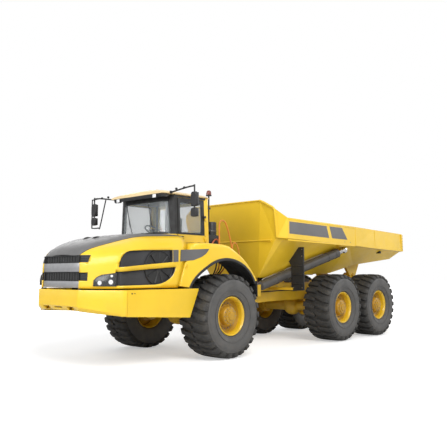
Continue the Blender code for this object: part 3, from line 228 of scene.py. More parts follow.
def along_line(points, count):
    """Points at even steps along a broken line."""
    points = [Vector(p) for p in points]
    steps = [(b - a).length for a, b in zip(points, points[1:])]
    total, out = sum(steps), []
    for k in range(count + 1):
        want, walked = total * k / count, 0.0
        for a, b, step in zip(points, points[1:], steps):
            if walked + step >= want - 1e-9:
                out.append(a.lerp(b, (want - walked) / step))
                break
            walked += step
    return out


def full_turn(count, closed=False):
    """Even angles round a circle; closed repeats the first at the end."""
    return [2 * math.pi * k / count for k in range(count + closed)]


def ellipse(cx, cz, a, b, start, end, steps):
    angles = [math.radians(start + (end - start) * i / steps) for i in range(steps + 1)]
    return [Vector((cx + a * math.cos(t), cz + b * math.sin(t))) for t in angles]


class Shape:
    """One piece's mesh, built up from grids, slabs, tubes and turned parts."""

    def __init__(self):
        self.mesh = bmesh.new()

    def faces(self, rows, look=0, closed=False, loop=False, ends=False):
        """A grid of points as faces; closed joins each row's ends, loop the last row to the first."""
        verts = [[self.mesh.verts.new(p) for p in row] for row in rows]
        wide = len(verts[0])
        pairs = list(zip(verts, verts[1:])) + ([(verts[-1], verts[0])] if loop else [])
        for first, second in pairs:
            for i in range(wide if closed else wide - 1):
                j = (i + 1) % wide
                face = self.mesh.faces.new((first[i], first[j], second[j], second[i]))
                face.material_index = look(face) if callable(look) else look
        if ends:
            for row in (list(reversed(verts[0])), verts[-1]):
                face = self.mesh.faces.new(row)
                face.material_index = 0 if callable(look) else look
        return self

    def solid(self, rows, look=0):
        """Rings of points joined along their row, with both ends closed."""
        return self.faces(rows, look, closed=True, ends=True)

    def box(self, low, high, look=0, edge=0.0):
        low, high = Vector(low), Vector(high)
        low, high = Vector(map(min, low, high)), Vector(map(max, low, high))
        made = bmesh.ops.create_cube(self.mesh, size=1.0, matrix=Matrix.Translation((low + high) / 2)
                                     @ Matrix.Diagonal((*(high - low), 1.0)))
        return self._dress(made["verts"], look, edge)

    def _dress(self, verts, look, edge):
        faces = list(dict.fromkeys(f for v in verts for f in v.link_faces))
        for face in faces:
            face.material_index = look
        if edge:
            edges = list(dict.fromkeys(e for f in faces for e in f.edges))
            made = bmesh.ops.bevel(self.mesh, geom=edges, offset=edge, segments=2, affect="EDGES",
                                   profile=0.5)
            for face in made["faces"]:
                face.material_index = look
        return self

    def slab(self, points, low, high, look=0, view="xz", edge=0.0):
        """A flat outline given thickness: xz is seen from the side, yz from the front, xy from above."""
        def place(u, v, w):
            return {"xz": (u, w, v), "yz": (w, u, v), "xy": (u, v, w)}[view]
        rings = [[self.mesh.verts.new(place(u, v, w)) for u, v in points] for w in (low, high)]
        faces = [self.mesh.faces.new(rings[0]), self.mesh.faces.new(list(reversed(rings[1])))]
        for i in range(len(points)):
            j = (i + 1) % len(points)
            faces.append(self.mesh.faces.new((rings[0][j], rings[0][i], rings[1][i], rings[1][j])))
        for face in faces:
            face.material_index = look
        if edge:
            caps = list(dict.fromkeys(e for f in faces[:2] for e in f.edges))
            made = bmesh.ops.bevel(self.mesh, geom=caps, offset=edge, segments=2, affect="EDGES", profile=0.5)
            for face in made["faces"]:
                face.material_index = look
        return self

    def side(self, points, low, high, look=0, edge=0.0):
        """A slab whose side outline is given from the front axle, between two widths in either order."""
        return self.slab([(AXLE + x, z) for x, z in points], *sorted((low, high)), look, edge=edge)

    def tube(self, path, radius, look=0, sides=10, flat=1.0):
        """A bent bar; radius may be one number or one for each point."""
        path = [Vector(p) for p in path]
        sizes = radius if isinstance(radius, (list, tuple)) else [radius] * len(path)
        rows, up = [], Vector((0.13, 0.31, 0.94)).normalized()
        for i, (here, size) in enumerate(zip(path, sizes)):
            run = (path[min(i + 1, len(path) - 1)] - path[max(i - 1, 0)]).normalized()
            side = run.cross(up if abs(run.dot(up)) < 0.98 else Vector((1, 0, 0))).normalized()
            up = side.cross(run).normalized()
            rows.append([here + (side * math.cos(a) + up * math.sin(a) * flat) * size
                         for a in full_turn(sides)])
        return self.solid(rows, look)

    def turn(self, profile, origin, axis, sides=48, look=0, looks=None):
        """A profile of (radius, height) turned about an axis; looks gives one number for each band."""
        spin = Vector((0, 0, 1)).rotation_difference(Vector(axis)).to_matrix()
        rings = [[self.mesh.verts.new(Vector(origin) + spin @ Vector((radius * math.cos(a),
                                                                      radius * math.sin(a), height)))
                  for a in full_turn(sides if radius > 0 else 1)] for radius, height in profile]
        for band, (first, second) in enumerate(zip(rings, rings[1:])):
            for k in range(sides):
                j = (k + 1) % sides
                loop = [first[k % len(first)], first[j % len(first)], second[j % len(second)],
                        second[k % len(second)]]
                unique = [v for i, v in enumerate(loop) if v not in loop[:i]]
                if len(unique) > 2:
                    face = self.mesh.faces.new(unique)
                    face.material_index = looks[band] if looks else look
        return self

    def bolts(self, places, axis, radius, height, look=0, sides=6):
        for place in places:
            self.turn([(0, height), (radius * 0.8, height), (radius, height * 0.7), (radius, -0.004),
                       (0, -0.004)],
                      place, axis, sides, look)
        return self

    def make(self, name, body, looks, replaces=(), smooth=38, slot=None, weld=True):
        """Closes the mesh and puts it in the scene as a piece that rides on a body."""
        if weld:
            bmesh.ops.remove_doubles(self.mesh, verts=self.mesh.verts, dist=0.00005)
        bmesh.ops.recalc_face_normals(self.mesh, faces=self.mesh.faces)
        data = bpy.data.meshes.new(name)
        self.mesh.to_mesh(data)
        self.mesh.free()
        obj = bpy.data.objects.new(name, data)
        SCENE.collection.objects.link(obj)
        for look in looks:
            data.materials.append(look)
        data.shade_smooth()
        data.set_sharp_from_angle(angle=math.radians(smooth))
        if body:
            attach(obj, body)
        if replaces:
            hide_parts(*replaces)
        return obj


def applied(obj):
    """Bakes an object's modifiers into its mesh."""
    data = bpy.data.meshes.new_from_object(obj.evaluated_get(bpy.context.evaluated_depsgraph_get()))
    obj.modifiers.clear()
    obj.data = data
    return obj


def cut(obj, *tools):
    """Cuts other objects out of a piece and removes them."""
    for tool in tools:
        step = obj.modifiers.new("cut", "BOOLEAN")
        step.object = tool
        step.operation = "DIFFERENCE"
        step.solver = "EXACT"
    bpy.context.view_layer.update()
    applied(obj)
    for tool in tools:
        bpy.data.objects.remove(tool, do_unlink=True)
    return obj


def dressed(node, look, edge=0.0, smooth=35):
    """A CAD node that keeps its shape and gets a finished material, with small rounded edges."""
    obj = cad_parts[node]
    obj.data.materials.clear()
    obj.data.materials.append(look)
    if edge:
        bevel = obj.modifiers.new("edges", "BEVEL")
        bevel.width = edge
        bevel.segments = 2
        bevel.limit_method = "ANGLE"
        bevel.angle_limit = math.radians(smooth)
    return obj


# ---------------------------------------------------------------- wheels
TYRE_RADIUS = (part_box("front_left_tyre")[1].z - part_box("front_left_tyre")[0].z) / 2
LUGS = 26


def tyre_mesh():
    """A tyre with curved tread blocks that run over the shoulder, its outside facing +Y."""
    shape = Shape()
    half = [(TYRE_RADIUS - 0.050, 0.0), (TYRE_RADIUS - 0.052, 0.20), (TYRE_RADIUS - 0.062, 0.30),
            (TYRE_RADIUS - 0.085, 0.350), (TYRE_RADIUS - 0.125, 0.376), (0.68, 0.389), (0.58, 0.386),
            (0.50, 0.372),
            (0.455, 0.352), (0.445, 0.356), (0.435, 0.352), (0.425, 0.330), (0.412, 0.310), (0.408, 0.285)]
    profile = [(r, -y) for r, y in reversed(half[1:])] + half
    steps = len(profile) - 1
    looks = [0 if min(profile[i][0], profile[i + 1][0]) > TYRE_RADIUS - 0.126 else 1 for i in range(steps)]
    shape.turn(profile, (0, 0, 0), (0, 1, 0), 72, looks=looks)
    turn = 2 * math.pi / LUGS
    # Stations along one block: across, outer radius, half width as an angle, lead as an angle, depth.
    run = ((0.012, 0.000, 0.034, 0.105, 0.07), (0.10, 0.000, 0.052, 0.075, 0.07),
           (0.20, 0.002, 0.062, 0.035, 0.07),
           (0.30, 0.008, 0.068, 0.008, 0.07), (0.350, 0.020, 0.070, 0.0, 0.08),
           (0.378, 0.045, 0.066, 0.0, 0.08),
           (0.391, 0.078, 0.056, 0.0, 0.05), (0.390, 0.100, 0.040, 0.0, 0.02))
    for side in (1, -1):
        for index in range(LUGS):
            base = turn * (index + (0.5 if side < 0 else 0.0))
            rows = []
            for across, drop, wide, lead, depth in run:
                top = TYRE_RADIUS - 0.002 - drop
                ring = []
                for angle, radius, y in ((-wide * 1.18, top - depth, across - (0.03 if across > 0.37 else 0)),
                                         (-wide, top - 0.010, across), (-wide * 0.86, top, across),
                                         (wide * 0.86, top, across), (wide, top - 0.010, across),
                                         (wide * 1.18, top - depth, across - (0.03 if across > 0.37 else 0))):
                    turned = base + (angle + lead) * (1 if side > 0 else -1)
                    ring.append((radius * math.cos(turned), side * y, radius * math.sin(turned)))
                rows.append(ring)
            shape.solid(rows)
    for radius in (0.70, 0.54):
        shape.turn([(radius, -0.30), (radius + 0.006, 0.389), (radius - 0.006, 0.389), (radius, -0.30)],
                   (0, 0, 0), (0, 1, 0), 72, 1)
    return shape


def rim_shape():
    """A wide yellow ring, a recessed disc with its studs whose yellow is darkened to ochre as painted shade,
    and the hub's cap.
    """
    shape = Shape()
    profile = [(0.404, -0.326), (0.396, -0.328), (0.372, -0.30), (0.355, 0.0), (0.358, 0.27), (0.378, 0.315),
               (0.392, 0.327), (0.404, 0.326), (0.4065, 0.31), (0.385, 0.29), (0.385, -0.29), (0.404, -0.326)]
    shape.turn(profile, (0, 0, 0), (0, 1, 0), 64, 0)
    inner = [(0.357, 0.20), (0.345, 0.20), (0.335, 0.185), (0.320, 0.150), (0.300, 0.135), (0.235, 0.130),
             (0.232, 0.150), (0.205, 0.158), (0.200, 0.225), (0.196, 0.265), (0.180, 0.285), (0.150, 0.292),
             (0.146, 0.312), (0.090, 0.318), (0.086, 0.334), (0.030, 0.337), (0, 0.337)]
    shape.turn(inner, (0, 0, 0), (0, 1, 0), 64, 1)
    back = [(0.372, -0.05), (0.24, -0.18), (0.235, -0.200), (0, -0.200)]
    shape.turn(back, (0, 0, 0), (0, 1, 0), 48, 1)

    def ring(count, radius, y):
        return [(radius * math.cos(a), y, radius * math.sin(a)) for a in full_turn(count)]

    shape.bolts(ring(20, 0.268, 0.132), (0, 1, 0), 0.013, 0.022, 2)
    shape.bolts(ring(12, 0.170, 0.286), (0, 1, 0), 0.011, 0.012, 2)
    shape.bolts(ring(6, 0.115, 0.314), (0, 1, 0), 0.009, 0.010, 2)
    shape.bolts([(0.384 * math.cos(2.1), 0.315, 0.384 * math.sin(2.1))], (0, 1, 0), 0.008, 0.018, 3)
    return shape


def wheels():
    tyre = tyre_mesh().make("tyre_master", None, [TREAD, WALL], smooth=32, weld=False)
    rim = rim_shape().make("rim_master", None, [RING, HUB_PAINTED_SHADE, BOLT, BLACK], smooth=40)
    for axle in ("front", "middle", "rear"):
        for side, sign in SIDES:
            place = centre(f"{axle}_{side}_rim")
            place = Vector((place.x, centre(f"{axle}_{side}_tyre").y, place.z))
            for master, kind, slot in ((tyre, "tyre", "tyre_rubber"), (rim, "rim", "yellow_paint")):
                obj = bpy.data.objects.new(f"{axle}_{kind}_{side}", master.data)
                SCENE.collection.objects.link(obj)
                obj.matrix_world = (Matrix.Translation(place)
                                    @ Matrix.Rotation(0 if sign > 0 else math.pi, 4, "Z"))
                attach(obj, f"{axle}_wheel_{side}")
                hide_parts(f"{axle}_{side}_{kind}")
    for master in (tyre, rim):
        bpy.data.objects.remove(master, do_unlink=True)


wheels()

# ---------------------------------------------------------------- hood
HOOD_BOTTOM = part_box("hood")[0].z
# From the cab to the nose: x at the lower edge, the side's top, the shoulder and the middle; half
# width of the side and at the shoulder; heights of the side's top, the shoulder and the middle.
HOOD = ((1.252, 1.032, 0.965, 1.140, 1.360, 1.100, 2.230, 2.530, 2.600),
        (1.600, 1.520, 1.450, 1.560, 1.360, 1.100, 2.210, 2.505, 2.585),
        (2.050, 2.020, 1.980, 2.000, 1.358, 1.050, 2.180, 2.470, 2.545),
        (2.350, 2.330, 2.280, 2.300, 1.350, 0.980, 2.140, 2.410, 2.490),
        (2.600, 2.575, 2.520, 2.540, 1.342, 0.900, 2.090, 2.340, 2.420),
        (2.780, 2.755, 2.700, 2.730, 1.108, 0.790, 2.050, 2.280, 2.360),
        (2.920, 2.895, 2.860, 2.890, 0.900, 0.690, 2.000, 2.215, 2.280),
        (3.020, 3.000, 2.970, 2.990, 0.720, 0.620, 1.960, 2.140, 2.180),
        (3.055, 3.040, 3.015, 3.030, 0.640, 0.590, 1.940, 2.095, 2.120))


def hood_y(x):
    """Half width of the hood's side at a place along it."""
    for (a, *_, ya, _, _, _, _), (b, *_, yb, _, _, _, _) in zip(HOOD, HOOD[1:]):
        if a <= x <= b:
            return ya + (yb - ya) * (x - a) / (b - a)
    return HOOD[0][4]


SHOULDER = 3                    # the column where the grey top meets the yellow side


def hood_row(section, side=1, inset=0.0, low=0.0):
    x_low, x_side, x_line, x_mid, y_low, y_line, z_side, z_line, z_mid = section
    points = [(x_mid, 0, z_mid), (x_mid, 0.40 * y_line, z_mid - 0.008),
              (x_mid * 0.6 + x_line * 0.4, 0.78 * y_line, z_mid - 0.030),
              (x_line, y_line, z_line), (x_line * 0.7 + x_side * 0.3, y_line * 0.45 + y_low * 0.55,
                                         z_line * 0.72 + z_side * 0.28),
              (x_side, y_low, z_side), (x_side * 0.5 + x_low * 0.5, y_low + 0.004,
                                        (z_side + HOOD_BOTTOM) / 2),
              (x_low, y_low, HOOD_BOTTOM - low)]
    return [at(x, side * (y - inset * (y > 0.3)), z - (inset if z > z_side else 0.0)) for x, y, z in points]


def smooth_rows(rows, along, across):
    """Refines a coarse grid of points both ways."""
    fine = [eased(row, across) for row in rows]
    columns = [eased(column, along) for column in zip(*fine)]
    return [list(row) for row in zip(*columns)]


UPPER_VENT = ((1.405, 2.225), (1.405, 1.985), (2.10, 1.925), (2.645, 1.872), (2.638, 1.96), (2.615, 2.04),
              (2.575, 2.10),
              (2.51, 2.15), (2.43, 2.175), (2.10, 2.198))
LOWER_VENT = ((1.325, 1.893), (1.34, 1.82), (1.39, 1.735), (1.47, 1.665), (1.57, 1.61), (1.70, 1.570),
              (1.84, 1.552),
              (2.675, 1.540), (2.68, 1.790), (2.00, 1.845))


def prism(name, points, low, high, view="xz"):
    """A cutting solid from a side outline given from the front axle."""
    if view == "xz":
        return Shape().slab([(AXLE + x, z) for x, z in points], low, high, 0, view).make(name, None, [BLACK])
    return Shape().slab(points, AXLE + low, AXLE + high, 0, view).make(name, None, [BLACK])


def grown(points, amount):
    """An outline grown or shrunk about its own middle."""
    mid_x = sum(p[0] for p in points) / len(points)
    mid_z = sum(p[1] for p in points) / len(points)
    half_x = max(abs(p[0] - mid_x) for p in points)
    half_z = max(abs(p[1] - mid_z) for p in points)
    return [(mid_x + (x - mid_x) * (1 + amount / half_x), mid_z + (z - mid_z) * (1 + amount / half_z)) for x,
            z in points]


def hood():
    along, across = 4, 4
    shell = Shape()
    for side in (1, -1):
        rows = smooth_rows([hood_row(section, side) for section in HOOD], along, across)
        split = SHOULDER * across
        shell.faces([row[:split + 1] for row in rows], 0)
        shell.faces([row[split:] for row in rows], 1)
    obj = shell.make("hood_panels", "hood", [GREY, YELLOW], replaces=["hood"], smooth=50, slot="yellow_paint")
    thick = obj.modifiers.new("skin", "SOLIDIFY")
    thick.thickness = 0.022
    thick.offset = -1
    bpy.context.view_layer.update()
    applied(obj)
    tools = []
    for label, points in (("upper", UPPER_VENT), ("lower", LOWER_VENT)):
        for side, sign in SIDES:
            tools.append(prism(f"cut_{label}_{side}", points, *sorted((sign * 1.0, sign * 1.6))))
    for sign in (1, -1):
        for low, high in ((1.965, 2.095), (1.630, 1.780)):
            edge = [(sign * 0.50, low), (sign * 0.50, high), (sign * 0.80, high), (sign * 0.80, low)]
            tools.append(prism("cut_notch", edge, 2.80, 3.30, "yz"))
    cut(obj, *tools)
    # groove between the grey top and the yellow side, and behind the vents
    trim = Shape()
    for side in (1, -1):
        rows = smooth_rows([hood_row(section, side) for section in HOOD], along, across)
        line = [row[SHOULDER * across] for row in rows]
        trim.tube([p + Vector((0, side * 0.001, 0.0)) for p in line], 0.005, 0, 6)
    trim.make("hood_seam", "hood", [SEAL], slot="black_paint")
    for side, sign in SIDES:
        back = Shape()
        for points in (UPPER_VENT, LOWER_VENT):
            outline = [Vector(p) for p in grown(points, 0.02)]
            start, end = min(p.x for p in outline) + 0.002, max(p.x for p in outline) - 0.002
            rows = []
            for k in range(25):
                x = start + (end - start) * k / 24
                cross = [a.y + (b.y - a.y) * (x - a.x) / (b.x - a.x) for a,
                         b in zip(outline, outline[1:] + outline[:1])
                         if a.x != b.x and min(a.x, b.x) <= x <= max(a.x, b.x)]
                y = sign * (hood_y(x) - 0.050)
                rows.append([at(x, y, min(cross)), at(x, y, max(cross)), at(x, y - sign * 0.01, max(cross)),
                             at(x, y - sign * 0.01, min(cross))])
            back.solid(rows)
        centre_z, centre_x = 1.87, 1.72
        arc = [at(centre_x + 0.335 * math.cos(a), sign * 1.318, centre_z + 0.335 * math.sin(a))
               for a in full_turn(40, True)]
        back.tube(arc, 0.018, 1, 8)
        back.turn([(0, 0.006), (0.315, 0.006), (0.325, -0.004), (0, -0.004)],
                  at(centre_x, sign * 1.316, centre_z),
                  (0, sign, 0), 40, 2)
        for angle in full_turn(9):
            run = Vector((math.cos(angle + 0.2), 0, math.sin(angle + 0.2)))
            spot = at(centre_x, sign * 1.319, centre_z)
            back.tube([spot + run * 0.06, spot + run * 0.31], [0.012, 0.03], 1, 6, 0.4)
        back.make(f"hood_vent_mesh_{side}", "hood", [MESH, BLACK, SEAL], slot="black_paint")
        # frames round the vents
        lip = Shape()
        lip.side(((1.398, 2.224), (1.262, 2.230), (1.262, 1.998), (1.398, 1.986)), sign * 1.356, sign * 1.376,
                 1)
        for points in (UPPER_VENT, LOWER_VENT):
            edge = along_line(points + points[:1], 72)[:-1]
            inner = [Vector(p) for p in grown([tuple(p) for p in edge], -0.012)]
            ring = [[at(p.x, sign * (hood_y(p.x) - depth), p.y) for p in line]
                    for line, depth in ((edge, 0.006), (inner, 0.014), (inner, 0.045), (edge, 0.045))]
            lip.faces(ring, 0, closed=True, loop=True)
        lip.make(f"hood_vent_frame_{side}", "hood", [BLACK, DECAL], slot="black_paint", smooth=30)
    # small hinge covers on the hood's top
    hooks = Shape()
    for y in (0.16, -0.16):
        hooks.tube([at(2.44, y, 2.452), at(2.40, y, 2.476), at(2.34, y, 2.488), at(2.28, y, 2.492)],
                   [0.010, 0.018, 0.020, 0.008], 0, 8, 0.8)
    hooks.make("hood_hooks", "hood", [BLACK], slot="black_paint")


hood()


# ---------------------------------------------------------------- grille and headlights
def grille():
    """Silver bars over dark mesh, with slim uprights, and the dark blocks that wrap the corners."""
    shape = Shape()
    face = 3.040
    for low, high, look in ((1.795, 1.955, 0), (1.500, 1.620, 0)):
        rows = []
        for y in (-0.64, -0.60, -0.3, 0.0, 0.3, 0.60, 0.64):
            bow = 0.014 * (1 - (y / 0.64) ** 2)
            x = face + bow - (0.03 if abs(y) > 0.62 else 0.0)
            rows.append([at(x - 0.05, y, low), at(x - 0.006, y, low), at(x, y, low + 0.012),
                         at(x + 0.004, y, (low + high) / 2),
                         at(x, y, high - 0.012), at(x - 0.006, y, high), at(x - 0.05, y, high)])
        shape.solid(rows, look)
    for low, high in ((1.955, 2.10), (1.620, 1.795)):
        shape.box(at(face - 0.050, -0.63, low), at(face - 0.030, 0.63, high), 1)
        for k in range(13):
            y = -0.54 + 0.09 * k
            shape.box(at(face - 0.031, y - 0.003, low), at(face - 0.022, y + 0.003, high), 2, 0.001)
        shape.box(at(face - 0.034, -0.60, high - 0.014), at(face - 0.004, 0.60, high), 2, 0.003)
        shape.box(at(face - 0.034, -0.60, low), at(face - 0.004, 0.60, low + 0.012), 2, 0.003)
        for sign in (1, -1):
            shape.box(at(face - 0.034, sign * 0.585, low), at(face - 0.002, sign * 0.61, high), 2, 0.003)
    shape.make("grille_bars", "hood", [SILVER, FINE_MESH, BLACK], replaces=["grille"], slot="silver_plastic")
    blocks = Shape()
    for sign in (1, -1):
        for low, high in ((1.950, 2.10), (1.620, 1.790)):
            ring = [(3.008, 0.635), (2.928, 0.800), (2.86, 0.80), (2.94, 0.60)]
            blocks.slab([(AXLE + x, sign * y) for x, y in ring], low, high, 0, "xy")
            for k in range(4):
                z = low + 0.02 + (high - low - 0.04) * k / 3
                blocks.tube([at(3.014, sign * 0.64, z), at(2.936, sign * 0.795, z)], 0.006, 1, 6)
    blocks.make("grille_corner_blocks", "hood", [FINE_MESH, BLACK], slot="black_paint")


def headlights():
    outline = [(0.04, 1.530), (0.04, 1.640), (0.10, 1.700), (0.19, 1.740), (0.47, 1.775), (0.47, 1.530)]
    near, far = Vector((2.958, 0.900, 0)), Vector((2.668, 1.300, 0))
    run = (far - near).normalized()
    out = Vector((run.y, -run.x, 0))
    for side, sign in SIDES:
        shape = Shape()

        def spot(share, z, depth):
            lean = (z - 1.53) * 0.05
            p = near + run * share + out * depth
            return at(p.x - lean, sign * p.y, z)
        for grow, depth_low, depth_high, look in ((1.0, -0.03, 0.010, 0), (0.90, 0.0, 0.014, 1)):
            mid_u, mid_z = 0.26, 1.65
            ring = [(mid_u + (u - mid_u) * grow, mid_z + (z - mid_z) * grow) for u, z in outline]
            rows = [[spot(u, z, depth_low) for u, z in ring],
                    [spot(u, z, depth_high - 0.004) for u, z in ring],
                    [spot(mid_u + (u - mid_u) * 0.96, mid_z + (z - mid_z) * 0.94, depth_high) for u,
                     z in ring]]
            shape.solid(rows, look)
        axis = Vector((out.x, sign * out.y, 0))
        for share, z, radius in ((0.16, 1.590, 0.040), (0.37, 1.605, 0.044), (0.38, 1.715, 0.024)):
            place = spot(share, z, 0.012)
            shape.turn([(0, 0.010), (radius * 0.6, 0.009), (radius * 0.85, 0.004), (radius * 0.9, -0.002)],
                       place, axis, 20, 2)
            shape.turn([(radius * 0.9, -0.002), (radius * 0.95, 0.006), (radius * 1.1, 0.005),
                        (radius * 1.15, -0.004)],
                       place, axis, 20, 3)
        shape.make(f"headlight_unit_{side}", "hood", [BLACK, LENS, WHITE, SILVER],
                   replaces=[f"headlight_{side}"],
                   slot="lamp_glass")


grille()
headlights()


# ---------------------------------------------------------------- bumper and side panels
def bumper():
    """The wide bumper: flat face, swept corners, tucked lower lip, tow lugs and a middle slot."""
    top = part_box("front_bumper")[1].z - 0.026
    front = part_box("front_bumper")[1].x - AXLE - 0.002
    path = [(front, 0.0), (front, 0.30), (front - 0.002, 0.62), (front - 0.025, 0.72), (2.90, 1.02),
            (2.68, 1.35),
            (2.635, 1.425), (2.605, 1.455), (2.575, 1.468)]
    path = [(x, -y) for x, y in reversed(path[1:])] + path
    path = eased([(x, y, 0) for x, y in path], 3)
    rows = []
    for p in path:
        share = min(1.0, max(0.0, (abs(p.y) - 0.62) / 0.8))
        lip = 1.165 * (1 - share) + 1.03 * share
        low = 1.075 * (1 - share) + 0.992 * share
        tuck = 0.075 * (1 - share) + 0.018 * share
        normal = Vector((1, 0, 0)).lerp(Vector((0.75, 0.66 * (1 if p.y > 0 else -1), 0)),
                                        min(1.0, abs(p.y) / 0.9)).normalized()
        if abs(p.y) > 1.40:
            normal = Vector((0.2, 1 if p.y > 0 else -1, 0)).normalized()
        ring = [(-0.065, top), (-0.012, top), (-0.003, top - 0.004), (0.0, top - 0.014),
                (0.0, (top + lip) / 2), (0.0, lip),
                (-tuck * 0.5, (lip + low) / 2), (-tuck, low + 0.006), (-tuck - 0.02, low),
                (-0.065 - tuck, low + 0.004)]
        rows.append([at(p.x + normal.x * d, p.y + normal.y * d, z) for d, z in ring])
    shape = Shape()
    shape.solid(rows)
    obj = shape.make("bumper_shell", "front_unit", [YELLOW], replaces=["front_bumper"], smooth=32,
                     slot="yellow_paint")
    slots = [prism("cut_slot", [(-0.14, 1.120), (-0.14, 1.142), (0.14, 1.142), (0.14, 1.120)], 2.9, 3.3,
                   "yz")]
    for sign in (1, -1):
        slots.append(prism("cut_tow", [(sign * 0.30, 1.085), (sign * 0.30, 1.150), (sign * 0.52, 1.150),
                                       (sign * 0.52, 1.085)],
                           2.9, 3.3, "yz"))
    cut(obj, *slots)
    lugs = Shape()
    for sign in (1, -1):
        lugs.box(at(2.84, sign * 0.30, 1.08), at(2.97, sign * 0.52, 1.155), 0, 0.008)
        lugs.turn([(0.034, -0.02), (0.034, 0.034), (0.022, 0.038), (0.016, 0.020), (0.016, -0.02)],
                  at(2.965, sign * 0.41, 1.118), (1, 0, 0), 20, 0)
        lugs.box(at(2.80, sign * 0.30, 1.14), at(3.02, sign * 0.46, 1.40), 1)
    lugs.box(at(2.90, -0.62, 1.09), at(2.92, 0.62, 1.17), 1)
    lugs.make("tow_lugs", "front_unit", [CHASSIS, FRAME], slot="yellow_paint")
    seats = Shape()
    for sign in (1, -1):
        seats.box(at(2.965, sign * 0.615, top - 0.01), at(3.045, sign * 0.685, HOOD_BOTTOM - 0.0005), 0,
                  0.004)
    seats.make("hood_seats", "front_unit", [BLACK], slot="black_paint")
    for side, sign in SIDES:
        dressed(f"side_panel_{side}", YELLOW, 0.006)
        lock = Shape()
        lock.turn([(0, 0.006), (0.013, 0.005), (0.017, -0.004)], at(2.47, sign * 1.470, 1.40), (0, sign, 0),
                  16, 0)
        lock.box(at(2.39, sign * 1.466, 1.394), at(2.43, sign * 1.474, 1.404), 0, 0.001)
        lock.make(f"panel_lock_{side}", "front_unit", [BLACK], slot="black_paint")


bumper()


# ---------------------------------------------------------------- fenders
FENDER_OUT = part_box("fender_left")[1].y
ARCH = (0.08, 1.28, 0.97, 0.80)
FENDER_TOP = [(1.235, HOOD_BOTTOM), (1.16, 1.73), (1.085, 1.98), (1.015, 2.20), (0.97, 2.33), (0.94, 2.375),
              (0.88, 2.383),
              (0.55, 2.380), (0.20, 2.373), (0.02, 2.345), (-0.12, 2.280), (-0.26, 2.205), (-0.41, 2.118),
              (-0.53, 2.020), (-0.64, 1.917), (-0.78, 1.765), (-0.905, 1.615)]
BAND = ((1.200, 2.232), (0.63, 2.262), (0.66, 2.215), (0.71, 2.16), (0.80, 2.095), (0.95, 2.028),
        (1.215, 2.004))


def flare(x):
    """How far out the fender stands: flush with the hood at the seam, full width over the tyre."""
    share = min(1.0, max(0.0, (1.24 - x) / 0.62))
    return 1.374 + (FENDER_OUT - 1.374) * (share * share * (3 - 2 * share))


